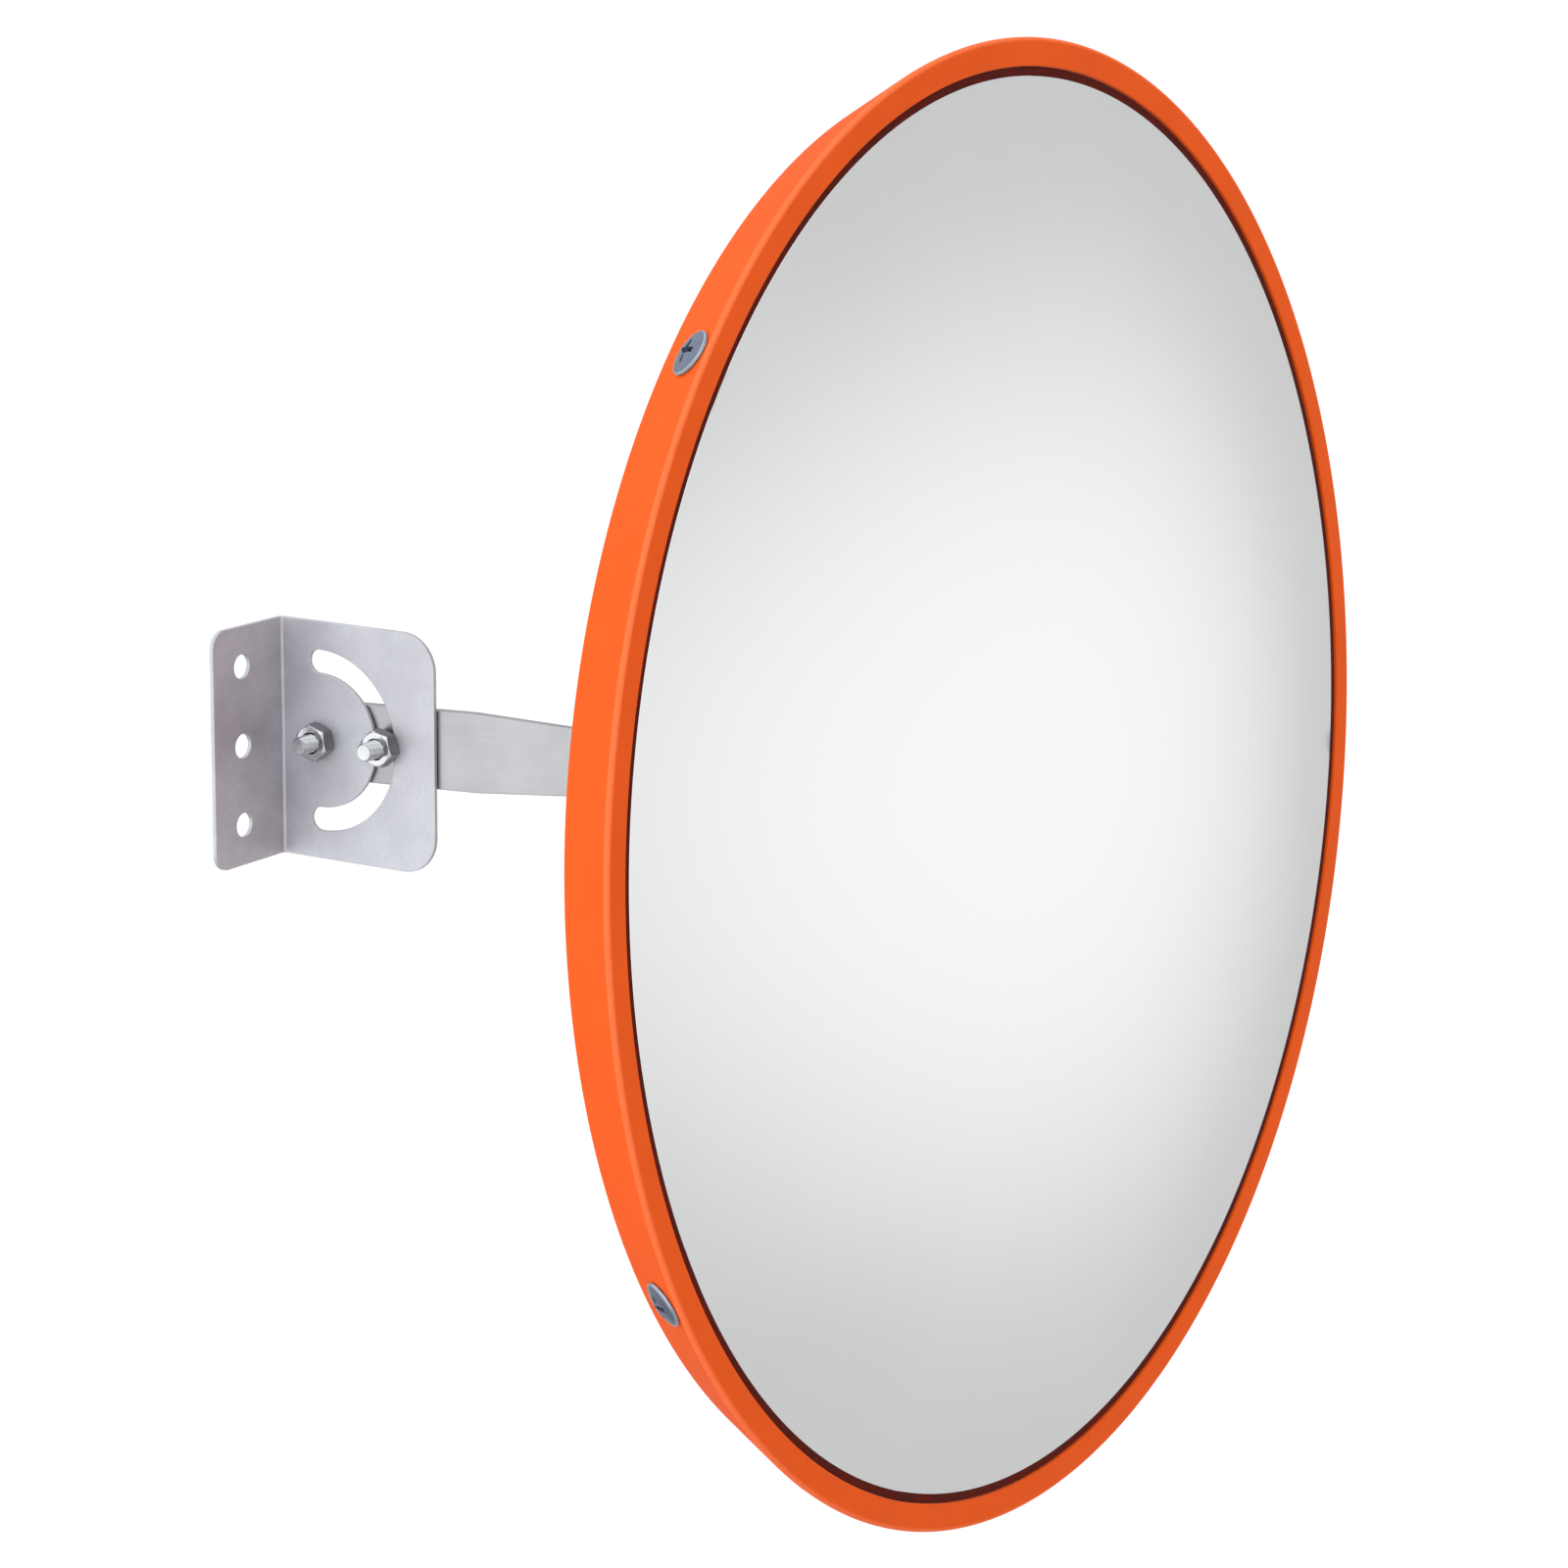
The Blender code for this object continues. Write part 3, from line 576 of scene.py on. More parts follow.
def moulded_orange(name, base, corner=None):
    """Semi-matt moulded plastic: fine grain, slight mottling, scuffs.

    corner is (radius, height) of the corner about local Z that gets a painted highlight: a
    lighter orange band, broken up a little by the dust noise.
    """
    made = Finish(name, Specular_IOR_Level=0.03)
    mottle = made.noise(0.030, 3.0)
    grain = made.noise(0.00045, 3.0, 0.6)
    scuffs = made.noise(0.0022, 7.0, 0.72, stretch=(1.0, 0.18, 1.0))
    dust = made.noise(0.0016, 5.0, 0.7)
    tone = made.clouded(mottle, 0.32, 0.68, base, 0.955, 1.02)
    tone = made.marked(tone, scuffs, 0.68, 0.80, 0.30, tinted(base, 1.02, 1.9, 5.0))
    tone = made.marked(tone, dust, 0.66, 0.78, 0.16, scaled(base, 0.62))
    # Painted highlight: a lighter orange band along the rim's rounded front outer corner, broken
    # up a little by the dust noise.
    if corner:
        radius, height = corner
        near_edge = made.remap(made.radius(MIRROR_SIDE), radius - 0.0016,
                               radius - 0.0004)
        near_front = made.remap(made.split(made.place)[2], height - 0.0020,
                                height - 0.0010)
        painted_highlight = made.maths("MULTIPLY", near_edge, near_front)
        painted_highlight = made.maths("MULTIPLY", painted_highlight, made.remap(dust, 0.3, 0.6, 0.75, 1.0))
        tone = made.blend(painted_highlight, tone, (1.0, base[1] * 1.75, base[2] * 5.2))
    return made.finish(tone, (scuffs, 0.3, 0.75, 0.46, 0.58),
                       (mottle, 0.00005), (grain, 0.000012))


def seal_rubber(name, base):
    """Soft seal: matt, with a dusty bloom; its dark red-brown base is painted shade, the rim's
    orange as it looks in shadow.
    """
    made = Finish(name, Specular_IOR_Level=0.05)
    bloom = made.noise(0.004, 5.0, 0.7)
    tone = made.clouded(bloom, 0.35, 0.70, base, 0.85, 1.5)
    return made.finish(tone, (bloom, 0.3, 0.7, 0.55, 0.75),
                       (made.noise(0.0004, 3.0), 0.00001))


def silvered_face(name, base):
    """Silvered mirror: very smooth, with a faint haze, dust and slow ripple."""
    made = Finish(name, metallic=1.0)
    haze = made.noise(0.09, 3.0)
    dust = made.noise(0.0012, 5.0, 0.75)
    tone = made.clouded(haze, 0.3, 0.7, base, 0.985)
    tone = made.marked(tone, dust, 0.70, 0.80, 0.10, scaled(base, 0.80))
    return made.finish(tone, (haze, 0.3, 0.7, 0.22, 0.26),
                       (made.noise(0.12, 1.0), 0.00004))


def pale_floor(name, base):
    """Painted floor, almost white, very slightly clouded."""
    made = Finish(name, Specular_IOR_Level=0.1)
    tone = made.clouded(made.noise(0.4, 3.0), 0.3, 0.7, base, 0.985)
    return made.finish(tone, (made.noise(0.02, 3.0), 0.3, 0.7, 0.75, 0.9))


def finish_for(context, slot):
    """One material for each of the record's slots, made when first asked for."""
    name = slot + "_finish"
    found = bpy.data.materials.get(name)
    if found:
        return found
    colours = context.scene.cm_colours
    rim = context.scene.cm_mirror.rim_radius
    head = context.scene.cm_fasteners.screw_head
    maker, base, *more = {
        "galvanised_steel": (zinc_sheet, colours.sheet),
        "arm_steel": (plated_bar, colours.bar),
        "bright_zinc": (bright_zinc, colours.bright),
        # Rim screws: bright_zinc's facing tint is set to 1.0, so their sides are painted
        # slightly lighter than their faces, and a lighter ring starts just inside the head's
        # edge.
        "blue_zinc": (bright_zinc, colours.blue, 1.0, head * 0.97),
        # (rim, REACH) puts moulded_orange's painted highlight on the rim's front outer corner.
        "orange_rim": (moulded_orange, colours.rim, (rim, REACH)),
        "orange_shell": (moulded_orange, colours.shell),
        "dark_seal": (seal_rubber, colours.seal),
        "mirror_face": (silvered_face, colours.mirror),
    }[slot]
    return maker(name, base, *more)


def piece(context, mesh, body, slot, node, place=None, name=None):
    """An object in its slot's finish that rides on a body and stands for a node."""
    made = shown(name or mesh.name, mesh)
    if place is not None:
        made.matrix_world = place
    mesh.materials.clear()
    mesh.materials.append(finish_for(context, slot))
    keep = made.modifiers.new("even_shading", "WEIGHTED_NORMAL")
    keep.keep_sharp = True
    keep.weight = 80
    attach(made, body)
    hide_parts(node)
    return made


# ---- bracket and arm ----------------------------------------------------
def fold(bm, start, neutral, place):
    """Bend a flat blank a quarter turn from local x = start.

    neutral is the radius that keeps its length.  place turns how far a vertex
    is ahead of and off the bend's centre, and its height, into its position.
    """
    end = start + neutral * math.pi / 2
    for line in range(BEND_LINES + 1):
        x = start + (end - start) * line / BEND_LINES
        geometry = bm.verts[:] + bm.edges[:] + bm.faces[:]
        bmesh.ops.bisect_plane(bm, geom=geometry, dist=TINY, plane_co=(x, 0, 0),
                               plane_no=(1, 0, 0))
    for vert in bm.verts:
        run, height, out = vert.co
        turn = min(max((run - start) / neutral, 0.0), math.pi / 2)
        reach = neutral + out
        ahead = reach * math.sin(turn) + min(run - start, 0.0)
        off = reach * math.cos(turn) - max(run - end, 0.0)
        vert.co = place(ahead, off, height)


class BuildBracket(bpy.types.Operator):
    """Cut the bracket's blank and bend it into its two legs"""
    bl_idname = "convex_mirror.bracket"
    bl_label = "Wall bracket"

    def execute(self, context):
        size = context.scene.cm_bracket
        neutral = size.bend + size.plate / 2
        bend_x = BRACKET_HIGH.x - size.plate - size.bend
        bend_y = -size.plate - size.bend
        wall_run = bend_x - BRACKET_LOW.x
        arm_start = wall_run + neutral * math.pi / 2
        end = arm_start + bend_y - BRACKET_LOW.y
        low, high = BRACKET_LOW.z, BRACKET_HIGH.z
        outline = soften([(0.0, low, size.wall_corner), (end, low, size.arm_corner),
                          (end, high, size.arm_corner), (0.0, high, size.wall_corner)],
                         ROUND_STEPS)
        pivot = (arm_start + bend_y - HEAD.translation.y, 0.0)
        holes = [circle((-BRACKET_LOW.x, step * size.screw_pitch), size.screw_hole)
                 for step in (-1, 0, 1)]
        holes += [circle(pivot, size.bolt_hole), self.slot(pivot, size)]
        bm = sheet_blank(outline, holes, size.plate, size.edge)
        fold(bm, wall_run, neutral,
             lambda ahead, off, up: (bend_x + ahead, bend_y + off, up))
        piece(context, as_mesh("bracket_plate", bm), FIXED, "galvanised_steel",
              "wall_bracket")
        return {"FINISHED"}

    def slot(self, centre, size):
        """Outline of the arc slot about the pivot, in the flat blank."""
        x, y = centre
        sweep = size.slot_sweep
        half = size.slot_half
        top = (x + SLOT_RADIUS * math.cos(sweep), y + SLOT_RADIUS * math.sin(sweep))
        low = (top[0], 2 * y - top[1])
        outline = arc(centre, SLOT_RADIUS + half, -sweep, sweep, 4 * ROUND_STEPS)
        outline += arc(top, half, sweep, sweep + math.pi, ROUND_STEPS)[1:-1]
        outline += arc(centre, SLOT_RADIUS - half, sweep, -sweep, 4 * ROUND_STEPS)
        outline += arc(low, half, math.pi - sweep, FULL - sweep, ROUND_STEPS)[1:-1]
        return outline


class BuildArm(bpy.types.Operator):
    """Cut the arm's blank from flat bar and bend its foot"""
    bl_idname = "convex_mirror.arm"
    bl_label = "Arm"

    def execute(self, context):
        size = context.scene.cm_arm
        bolt_hole = context.scene.cm_bracket.bolt_hole
        outer = size.bend + size.thickness
        neutral = size.bend + size.thickness / 2
        bend_x = GAP + outer
        bend_z = REACH - context.scene.cm_mirror.shell_depth - GAP - outer
        foot_start = bend_z + neutral * math.pi / 2
        end = foot_start + 2 * MIRROR_SIDE - GAP - bend_x
        half, tip = size.half_width, size.tip_half
        outline = arc((0.0, 0.0), half, math.pi / 2, math.pi * 1.5, 2 * ROUND_STEPS)
        outline += soften([(size.taper_from, -half, 0.0), (size.taper_to, -tip, 0.0),
                           (end, -tip, size.corner), (end, tip, size.corner),
                           (size.taper_to, tip, 0.0), (size.taper_from, half, 0.0)],
                          ROUND_STEPS // 2)
        holes = [circle((0.0, 0.0), bolt_hole), circle((SLOT_RADIUS, 0.0), bolt_hole)]
        middle_run = foot_start + MIRROR_SIDE - bend_x
        holes += [circle((middle_run + step, 0.0), size.foot_hole)
                  for step in (-size.foot_spread, size.foot_spread)]
        bm = sheet_blank(outline, holes, size.thickness, size.edge)
        fold(bm, bend_z, neutral,
             lambda ahead, off, up: (bend_x - off, up, bend_z + ahead))
        piece(context, as_mesh("arm_bar", bm), TILTING, "arm_steel", "arm", HEAD)
        return {"FINISHED"}


# ---- bolts, nuts, washers and screws ------------------------------------
CLAMP_PLAIN, FOOT_PLAIN = 0.006, 0.004         # plain shank before the thread
RINGS_PER_PITCH = 10                           # rings in one turn of a thread
POINT_SLOPE = 0.9                              # fall of radius along a bolt's point
HEAD_TURN = 0.3                                # turn of the clamp bolts' heads
CROSS_TURN, CROSS_STEP = math.radians(13.0), math.radians(31.0)


def hexagon(turn, flat, offset, land):
    """Distance to a hexagon's side at an angle, and its chamfer's depth there.

    land is the radius of the flat face inside the chamfer.
    """
    step = math.pi / 3
    inside = (turn - offset) % step - step / 2
    corner = flat / math.cos(inside)
    return corner, max(0.0, (corner - land) * math.tan(math.radians(30.0)))


def hex_nut(name, bore, flat, thick, offset, sides=BOLT_SIDES):
    """Nut with chamfered corners on both faces and a countersunk bore."""
    sink = 0.0004
    round_off = 0.00008
    land = flat * 0.965

    def profile(turn):
        corner, cut = hexagon(turn, flat, offset, land)
        return [(bore, sink), (bore + sink, 0.0), (land, 0.0),
                (corner - round_off, cut), (corner, cut + round_off),
                (corner, thick / 2), (corner, thick - cut - round_off),
                (corner - round_off, thick - cut), (land, thick),
                (bore + sink, thick), (bore, thick - sink)]

    return as_mesh(name, revolve(profile, sides), 22.0)


def groove(height, turn, pitch, depth, power=1.0):
    """Depth of a thread's groove at a height and an angle."""
    phase = (height / pitch - turn / FULL) % 1.0
    return depth * (1.0 - abs(2.0 * phase - 1.0)) ** power


def bolt(name, shank, run, pitch, plain, flat, head, offset, sides=BOLT_SIDES):
    """Hexagon bolt, head below local z = 0, shank above, threaded at its end."""
    depth = pitch * 0.5
    point = shank * 0.22
    land = flat * 0.94
    dish = 0.0003
    under = 0.0002
    dish_in, dish_out = land * 0.55, land * 0.66
    rings = int((run - plain) / pitch * RINGS_PER_PITCH)

    def profile(turn):
        corner, cut = hexagon(turn, flat, offset, land)
        points = [(0.0, dish - head), (dish_in, dish - head), (dish_out, -head),
                  (land, -head), (corner, cut - head), (corner, -under),
                  (corner - under, 0.0), (shank, 0.0), (shank, plain)]
        for ring in range(1, rings + 1):
            height = plain + (run - plain) * ring / rings
            fade = min(1.0, (height - plain) / pitch)
            limit = shank - max(0.0, height - (run - point)) * POINT_SLOPE
            cut_to = shank - groove(height, turn, pitch, depth, 0.8) * fade
            points.append((min(cut_to, limit), height))
        return points + [(shank - point - depth * POINT_SLOPE, run), (0.0, run)]

    return as_mesh(name, revolve(profile, sides), 32.0)


def washer(name, bore, radius, thick, sides=BOLT_SIDES):
    edge = min(0.00025, thick / 4)
    corners = [(bore, 0.0, edge / 2), (radius, 0.0, edge), (radius, thick, edge),
               (bore, thick, edge / 2)]
    return as_mesh(name, turned(soften(corners, 3), sides))


def clamp_frame(name):
    """The frame a clamp set is built in, level for the pivot, tilted for the guide."""
    if name == "guide":
        return HEAD
    level = Matrix.Rotation(math.pi / 2, 4, "X")
    return Matrix.Translation(HEAD.translation) @ level


def clamp_points(name, part):
    inverse = clamp_frame(name).inverted()
    return [inverse @ point for point in node_points(f"{name}_{part}")]


def nut_turn(name, forward):
    """Angle from forward towards up of one of the nut's corners."""
    corner = max(clamp_points(name, "nut"),
                 key=lambda point: math.hypot(point.y, point.z - forward))
    return math.atan2(corner.y, corner.z - forward)


def clamp_pieces(context, part, shape):
    """Make one kind of piece of the pivot's and the guide's clamps.

    shape gives the mesh, the place of its origin along the bolt and the way its
    local Z points, 1 or -1, from the clamp's name, reach and extent.
    """
    for name, body in (("pivot", FIXED), ("guide", TILTING)):
        forward = SLOT_RADIUS if name == "guide" else 0.0
        low, high = span(clamp_points(name, part), 0)
        mesh, seat, way = shape(name, forward, low, high)
        place = clamp_frame(name) @ Matrix.Translation(
            (seat, 0.0, forward)) @ Matrix.Rotation(way * math.pi / 2, 4, "Y")
        piece(context, mesh, body, "bright_zinc", f"{name}_{part}", place)


class BuildClampBolts(bpy.types.Operator):
    """Make the threaded pivot and guide bolts"""
    bl_idname = "convex_mirror.clamp_bolts"
    bl_label = "Clamp bolts"

    def execute(self, context):
        size = context.scene.cm_fasteners

        def shape(name, forward, low, high):
            seat = span(clamp_points(name, "washer"), 0)[1] + GAP
            return bolt(name + "_bolt_threaded", size.clamp_shank,
                        seat - low - TIP_CLEAR, size.clamp_pitch, CLAMP_PLAIN,
                        size.clamp_flat, high - seat, HEAD_TURN), seat, -1

        clamp_pieces(context, "bolt", shape)
        return {"FINISHED"}


class BuildClampNuts(bpy.types.Operator):
    """Make the two chamfered nuts on the bracket's arm leg"""
    bl_idname = "convex_mirror.clamp_nuts"
    bl_label = "Clamp nuts"

    def execute(self, context):
        size = context.scene.cm_fasteners

        def shape(name, forward, low, high):
            return hex_nut(name + "_nut_hex", size.clamp_shank + GAP / 2,
                           size.clamp_flat, high - low, nut_turn(name, forward),
                           NUT_SIDES), high, -1

        clamp_pieces(context, "nut", shape)
        return {"FINISHED"}


class BuildClampWashers(bpy.types.Operator):
    """Make the washers under the clamp bolts' heads"""
    bl_idname = "convex_mirror.clamp_washers"
    bl_label = "Clamp washers"

    def execute(self, context):
        hole = context.scene.cm_bracket.bolt_hole
        radius = context.scene.cm_fasteners.clamp_washer

        def shape(name, forward, low, high):
            return washer(name + "_washer_flat", hole, radius, high - low), low, 1

        clamp_pieces(context, "washer", shape)
        return {"FINISHED"}


class BuildFootFasteners(bpy.types.Operator):
    """Make the bolts, washers and nuts that hold the foot to the shell"""
    bl_idname = "convex_mirror.foot_fasteners"
    bl_label = "Foot fasteners"

    def execute(self, context):
        size = context.scene.cm_fasteners
        spread = context.scene.cm_arm.foot_spread
        hole = context.scene.cm_arm.foot_hole
        shank, flat, head = size.foot_shank, size.foot_flat, size.foot_head
        up = Vector((0.0, 0.0, 1.0))
        upright = Matrix.Identity(4)
        over = up.rotation_difference(-up).to_matrix().to_4x4()
        shapes = {
            "bolt_threaded": lambda name, low, high: (
                bolt(name, shank, high - head - low - TIP_CLEAR, size.foot_pitch,
                     FOOT_PLAIN, flat, head, 0.0, SCREW_SIDES), high - head, over),
            "washer_flat": lambda name, low, high: (
                washer(name, hole, size.foot_washer, high - low, SCREW_SIDES), low,
                upright),
            "nut_hex": lambda name, low, high: (
                hex_nut(name, shank + GAP / 2, flat, high - low, 0.0), low, upright),
        }
        for label, step in ((1, -spread), (2, spread)):
            for kind, shape in shapes.items():
                node = f"foot_{kind.split('_')[0]}_{label}"
                low, high = span(head_points(node), 2)
                mesh, height, turn = shape(f"foot_{kind}_{label}", low, high)
                spot = Matrix.Translation((MIRROR_SIDE + step, 0.0, height))
                piece(context, mesh, TILTING, "bright_zinc", node, HEAD @ spot @ turn)
        return {"FINISHED"}


def side_radius(size, depth, inset=0.0):
    """Radius of the tapered side at a depth behind the front plane."""
    taper = size.side_taper
    corner = size.rim_radius + size.lip_round * (taper + math.hypot(1.0, taper) - 1.0)
    return corner - inset - taper * depth


def screw_place(size, node):
    """Local Z along a rim screw, outwards, with its origin on the side."""
    centre = middle(head_points(node)) - FRONT
    turn = math.atan2(centre.y, centre.x)
    lean = math.atan(size.side_taper)
    outwards = Matrix.Rotation(turn, 4, "Z") @ Matrix.Rotation(
        math.pi / 2 + lean, 4, "Y") @ Matrix.Rotation(math.pi / 2, 4, "Z")
    short = side_radius(size, -centre.z) - math.hypot(centre.x, centre.y)
    short /= math.cos(lean) + size.side_taper * math.sin(lean)
    return Matrix.Translation(centre + FRONT) @ outwards @ Matrix.Translation(
        (0.0, 0.0, short))


class BuildRimScrews(bpy.types.Operator):
    """Make the cross-recessed screws round the side of the rim"""
    bl_idname = "convex_mirror.rim_screws"
    bl_label = "Rim screws"

    def execute(self, context):
        size = context.scene.cm_fasteners
        mesh = self.screw(size)
        for label, node in enumerate(SCREW_NODES, 1):
            turn = Matrix.Rotation(CROSS_TURN + CROSS_STEP * label, 4, "Z")
            place = HEAD @ screw_place(context.scene.cm_mirror, node) @ turn
            piece(context, mesh, TILTING, "blue_zinc", node, place,
                  f"rim_screw_cross_{label}")
        return {"FINISHED"}

    def screw(self, size):
        """Low domed head with a cross recess, over a short threaded shank."""
        head, shank, pitch = size.screw_head, size.screw_shank, size.screw_pitch
        seat = GAP
        edge = seat + size.screw_edge
        crown = seat + size.screw_crown
        tail = -size.screw_length
        thread_depth = 0.0004
        blunt, flatness, under = 0.55, 2.4, 0.0002
        thread_rings, dome_rings = 40, 13

        def profile(turn):
            points = [(0.0, tail), (shank * blunt, tail)]
            for ring in range(thread_rings + 1):
                height = tail + (seat - tail) * ring / thread_rings
                fade = min(1.0, (seat - height) / pitch)
                points.append((shank - groove(height, turn, pitch, thread_depth) * fade,
                               height))
            points += [(head - under, seat), (head, seat + under), (head, edge)]
            for ring in range(1, dome_rings):
                share = math.cos(math.pi / 2 * ring / dome_rings)
                points.append((head * share,
                               edge + (crown - edge) * (1 - share ** flatness)))
            return points + [(0.0, crown)]

        mesh = as_mesh("screw", revolve(profile, SCREW_SIDES))
        body = shown("screw", mesh)
        tool = shown("cross", self.cross(size, crown))
        cut = body.modifiers.new("cross", "BOOLEAN")
        cut.object = tool
        cut.solver = "EXACT"
        ease = body.modifiers.new("ease", "BEVEL")
        ease.width = 0.00009
        ease.segments = 2
        ease.limit_method = "ANGLE"
        ease.angle_limit = math.radians(50.0)
        bpy.context.view_layer.update()
        shape = body.evaluated_get(bpy.context.evaluated_depsgraph_get())
        mesh = bpy.data.meshes.new_from_object(shape)
        mesh.name = "rim_screw_cross"
        for made in (body, tool):
            bpy.data.objects.remove(made, do_unlink=True)
        mesh.shade_smooth()
        mesh.set_sharp_from_angle(angle=math.radians(40.0))
        return mesh

    def cross(self, size, crown):
        """Tapered cross that cuts the recess, narrower at its bottom."""
        reach, half = size.cross_reach, size.cross_half
        inner = half * 1.1
        above, flare, narrow, hold = 0.001, 1.25, 0.30, 0.4
        outline = [(reach, half), (inner, inner), (half, reach)]
        bm = bmesh.new()
        levels = []
        for height, wide in ((crown + above, flare), (crown - size.cross_depth, narrow)):
            ring = []
            for quarter in range(4):
                turn = Matrix.Rotation(quarter * math.pi / 2, 2)
                for x, y in outline:
                    spot = turn @ Vector((x * wide, y * (hold + (1.0 - hold) * wide)))
                    ring.append(bm.verts.new((spot.x, spot.y, height)))
            levels.append(ring)
        upper, lower = levels
        bm.faces.new(upper)
        bm.faces.new(lower[::-1])
        for k in range(len(upper)):
            follow = (k + 1) % len(upper)
            bm.faces.new([upper[k], lower[k], lower[follow], upper[follow]])
        return as_mesh("cross", bm)


# ---- mirror head --------------------------------------------------------
def head_piece(context, name, corners, slot, node, steps=6):
    """Turn a softened (radius, depth, rounding) profile about the mirror's axis."""
    outline = soften([(radius, -depth, rounding) for radius, depth, rounding in corners],
                     steps)
    mesh = as_mesh(name, turned(outline, context.scene.cm_mirror.turns))
    mesh.transform(Matrix.Translation(FRONT))
    made = piece(context, mesh, TILTING, slot, node, HEAD)
    made.visible_glossy = False


class BuildRim(bpy.types.Operator):
    """Turn the orange rim: flat lip, rounded corner and tapered side"""
    bl_idname = "convex_mirror.rim"
    bl_label = "Front rim"

    def execute(self, context):
        size = context.scene.cm_mirror
        depth = size.side_depth
        back = size.lip_thickness
        wall = size.rim_wall
        head_piece(context, "rim_ring", [
            (size.lip_radius, back, FINE), (size.lip_radius, 0.0, CRISP),
            (side_radius(size, 0.0), 0.0, size.lip_round),
            (side_radius(size, depth), depth, 2 * FINE),
            (side_radius(size, depth, wall), depth, FINE),
            (side_radius(size, back, wall), back, 2 * FINE)],
            "orange_rim", "front_rim")
        return {"FINISHED"}


class BuildShell(bpy.types.Operator):
    """Turn the dished back shell with its ledge, cone, pad and lens rib"""
    bl_idname = "convex_mirror.shell"
    bl_label = "Back shell"

    def execute(self, context):
        size = context.scene.cm_mirror
        start = size.lip_thickness + 2 * GAP
        outset = size.rim_wall + GAP
        inset = outset + size.shell_wall
        side, ledge, deep = size.side_depth, size.ledge_depth, size.shell_depth
        back = size.shell_back
        inside = ledge - back
        slope = size.shell_slope
        floor = inside - FLOOR_EASE
        head_piece(context, "shell_dish", [
            (side_radius(size, start, outset), start, FINE),
            (side_radius(size, side, outset), side, SOFT),
            (size.ledge_outer, ledge, SOFT), (size.ledge_inner, ledge, 10 * SOFT),
            (size.cone_inner, size.cone_depth, 4 * SOFT),
            (size.pad_radius, deep, 4 * SOFT), (0.0, deep, 0.0),
            (0.0, deep - back, 0.0), (size.pad_radius - slope, deep - back, 2 * SOFT),
            (size.cone_inner - slope, size.cone_depth - back, 2 * SOFT),
            (size.ledge_inner, inside, 6 * SOFT), (size.rib_inner, inside, CRISP),
            (size.rib_inner, size.rib_front, FINE),
            (size.rib_outer, size.rib_front + slope, FINE),
            (size.rib_outer, inside, CRISP),
            (side_radius(size, floor, inset) - slope, inside, FINE),
            (side_radius(size, floor, inset), floor, FINE),
            (side_radius(size, start, inset), start, FINE)],
            "orange_shell", "back_shell")
        return {"FINISHED"}


class BuildSeal(bpy.types.Operator):
    """Turn the seal between the lip and the mirror; its dark colour is painted shade for the
    shadowed recess inside the lip
    """
    bl_idname = "convex_mirror.seal"
    bl_label = "Seal"

    def execute(self, context):
        size = context.scene.cm_mirror
        inner = size.lens_edge + GAP / 4
        front = size.lens_sink
        lip = size.lip_radius - GAP
        step = size.lip_thickness + GAP
        outer = FLANGE_OUT + GAP
        seat = FLANGE_DEPTH - size.flange - GAP
        head_piece(context, "seal_channel", [
            (inner, front, FINE / 4), (lip, front, FINE), (lip, step, 0.0),
            (SEAL_OUT, step, FINE), (SEAL_OUT, SEAL_DEPTH, FINE),
            (outer, SEAL_DEPTH, FINE), (outer, seat, 0.0), (inner, seat, 0.0)],
            "dark_seal", "rim_gasket", 4)
        return {"FINISHED"}


class BuildMirror(bpy.types.Operator):
    """Turn the convex mirror with its flanged edge"""
    bl_idname = "convex_mirror.lens"
    bl_label = "Mirror"

    def execute(self, context):
        size = context.scene.cm_mirror
        edge, rise = size.lens_edge, size.lens_rise
        sphere = (edge ** 2 + rise ** 2) / (2 * rise)
        centre = sphere - rise + size.lens_sink
        inner_edge = edge - size.lens_thickness + GAP
        outer = dome(sphere, centre, edge, OUTER_RINGS)
        inner = dome(sphere - size.lens_thickness, centre, inner_edge, INNER_RINGS)
        front = FLANGE_DEPTH - size.flange
        flange = [(inner_edge, -FLANGE_DEPTH), (FLANGE_OUT, -FLANGE_DEPTH),
                  (FLANGE_OUT, -front), (edge, -front)]
        profile = inner[::-1] + flange + outer
        mesh = as_mesh("mirror_dome", turned(profile, size.turns))
        mesh.transform(HEAD @ Matrix.Translation(FRONT))
        piece(context, mesh, TILTING, "mirror_face", "mirror_lens")
        return {"FINISHED"}


class FinishInnerPlates(bpy.types.Operator):
    """Give the plates inside the shell their zinc finishes"""
    bl_idname = "convex_mirror.inner_plates"
    bl_label = "Inner plates"

    def execute(self, context):
        for name, node in frame["nodes"].items():
            if node.hide_render:
                continue
            slot = "bright_zinc" if name.startswith("rim_nut") else "galvanised_steel"
            node.data.materials.clear()
            node.data.materials.append(finish_for(context, slot))
        return {"FINISHED"}


# ---- stage --------------------------------------------------------------
SIDE_LAMP = ((-2.2, 0.1, 1.1), 1.8)            # place and width
TOP_LAMP = ((0.6, -0.3, 2.6), 2.4)
BRIGHT_SIDE = (-0.75, 0.25, 0.60)              # towards the room's bright side
BRIGHT_FROM, BRIGHT_TO = -0.30, 0.50           # how near to it the light grows
GLOW_ACROSS = (0.523, 0.839, -0.148)           # the glow's long axis
GLOW_ACROSS_AT = -0.185                        # its middle along that axis
GLOW_UP = (0.078, 0.125, 0.989)
GLOW_UP_AT = -0.153


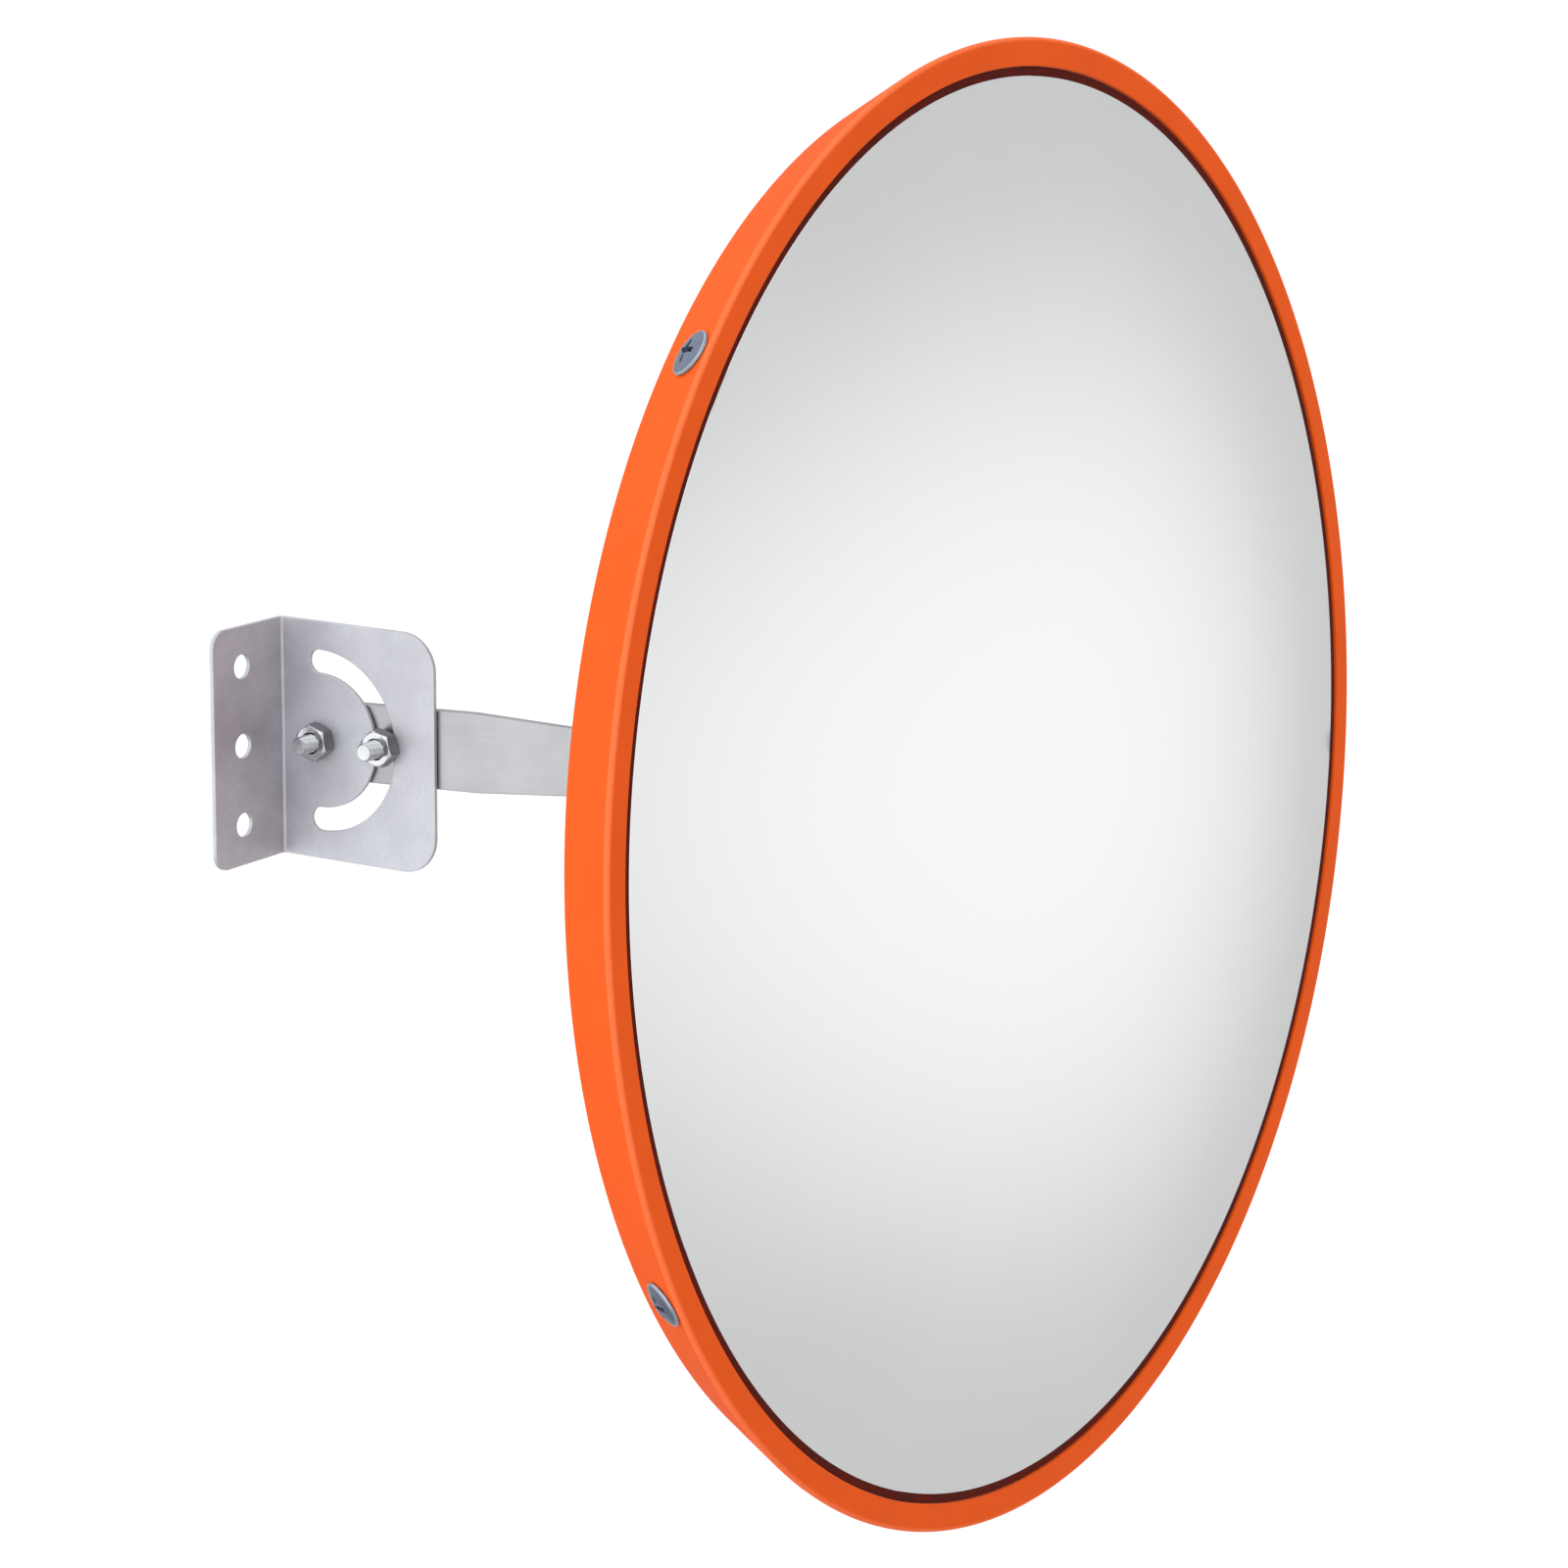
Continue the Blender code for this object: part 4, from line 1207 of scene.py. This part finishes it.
class BuildStage(bpy.types.Operator):
    """Lay the pale floor and set the room light, lamps and camera"""
    bl_idname = "convex_mirror.stage"
    bl_label = "Stage"

    def execute(self, context):
        size = context.scene.cm_stage
        self.floor(size)
        self.room(context, size)
        self.lamp("side_lamp", *SIDE_LAMP, size.key)
        self.lamp("top_lamp", *TOP_LAMP, size.top)
        self.camera(context, size)
        context.scene.view_settings.view_transform = "Standard"
        return {"FINISHED"}

    def lamp(self, name, place, width, power):
        """A broad round lamp that faces the middle of the mirror."""
        data = bpy.data.lights.new(name, "AREA")
        data.shape = "DISK"
        data.size = width
        data.energy = power
        made = shown(name, data)
        made.location = place
        aim = HEAD @ FRONT - Vector(place)
        made.rotation_euler = aim.to_track_quat("-Z", "Y").to_euler()

    def floor(self, size):
        """Lay the floor; the room alone lights and is mirrored by the pieces."""
        bm = bmesh.new()
        bmesh.ops.create_grid(bm, x_segments=24, y_segments=24, size=FLOOR_HALF)
        floor = shown("floor", as_mesh("floor", bm))
        floor.location.z = CAD_BOX[0].z - size.floor_drop
        floor.visible_diffuse = False
        floor.visible_glossy = False
        floor.data.materials.append(pale_floor("pale_floor", size.floor_colour))

    def room(self, context, size):
        """Pale room, dimmer in front, with one broad glow ahead of the mirror."""
        world = bpy.data.worlds.new("room")
        context.scene.world = world
        world.use_nodes = True
        nodes = Nodes(world.node_tree)
        ray = nodes.node("ShaderNodeTexCoord").outputs["Generated"]

        def nearing(axis, low, high, first, last, **settings):
            """A value that runs from first to last as rays near a direction."""
            near = nodes.node("ShaderNodeVectorMath",
                              [(0, ray), (1, Vector(axis).normalized())],
                              operation="DOT_PRODUCT").outputs["Value"]
            return nodes.remap(near, low, high, first, last, clamp=False, **settings)

        def apart(axis, centre, reach):
            """How far a ray leans from the glow's centre, squared."""
            lean = nearing(axis, centre - reach, centre + reach, -1.0, 1.0,
                           interpolation_type="LINEAR")
            return nodes.maths("MULTIPLY", lean, lean)

        distance = nodes.maths("ADD", apart(GLOW_ACROSS, GLOW_ACROSS_AT, size.glow_width),
                               apart(GLOW_UP, GLOW_UP_AT, size.glow_height))
        glow = nodes.remap(distance, 0.0, 1.0, size.glow, 0.0)
        behind = nearing(BRIGHT_SIDE, BRIGHT_FROM, BRIGHT_TO, size.dim, size.bright)
        background = world.node_tree.nodes["Background"]
        background.inputs["Color"].default_value = (1.0, 1.0, 1.0, 1.0)
        world.node_tree.links.new(nodes.maths("ADD", behind, glow),
                                  background.inputs["Strength"])

    def camera(self, context, size):
        data = bpy.data.cameras.new("camera")
        data.lens = size.lens
        data.clip_start = 0.05
        data.clip_end = 200.0
        made = shown("camera", data)
        made.matrix_world = (
            Matrix.Translation(size.camera_place)
            @ Matrix.Rotation(size.camera_azimuth, 4, "Z")
            @ Matrix.Rotation(math.pi / 2 - size.camera_height, 4, "X")
            @ Matrix.Rotation(size.camera_roll, 4, "Z"))
        context.scene.camera = made


OPERATORS = (BuildBracket, BuildArm, BuildClampBolts, BuildClampNuts,
             BuildClampWashers, BuildFootFasteners, BuildRim, BuildShell, BuildSeal,
             BuildMirror, BuildRimScrews, FinishInnerPlates, BuildStage)


class MirrorPanel(bpy.types.Panel):
    """Lists the mirror's operators and the sizes and colours they use"""
    bl_idname = "VIEW3D_PT_convex_mirror"
    bl_label = "Convex traffic mirror"
    bl_space_type = "VIEW_3D"
    bl_region_type = "UI"
    bl_category = "Mirror"

    def draw(self, context):
        for operator in OPERATORS:
            self.layout.operator(operator.bl_idname)
        for name, group in GROUPS.items():
            box = self.layout.box()
            settings = getattr(context.scene, name)
            for field in group.__annotations__:
                box.prop(settings, field)


def register():
    for made in (*GROUPS.values(), *OPERATORS, MirrorPanel):
        bpy.utils.register_class(made)
    for name, group in GROUPS.items():
        setattr(bpy.types.Scene, name, PointerProperty(type=group))


def unregister():
    for name in GROUPS:
        delattr(bpy.types.Scene, name)
    for made in reversed((*GROUPS.values(), *OPERATORS, MirrorPanel)):
        bpy.utils.unregister_class(made)


def main():
    register()
    for operator in OPERATORS:
        family, name = operator.bl_idname.split(".")
        getattr(getattr(bpy.ops, family), name)()


if __name__ == "__main__":
    main()
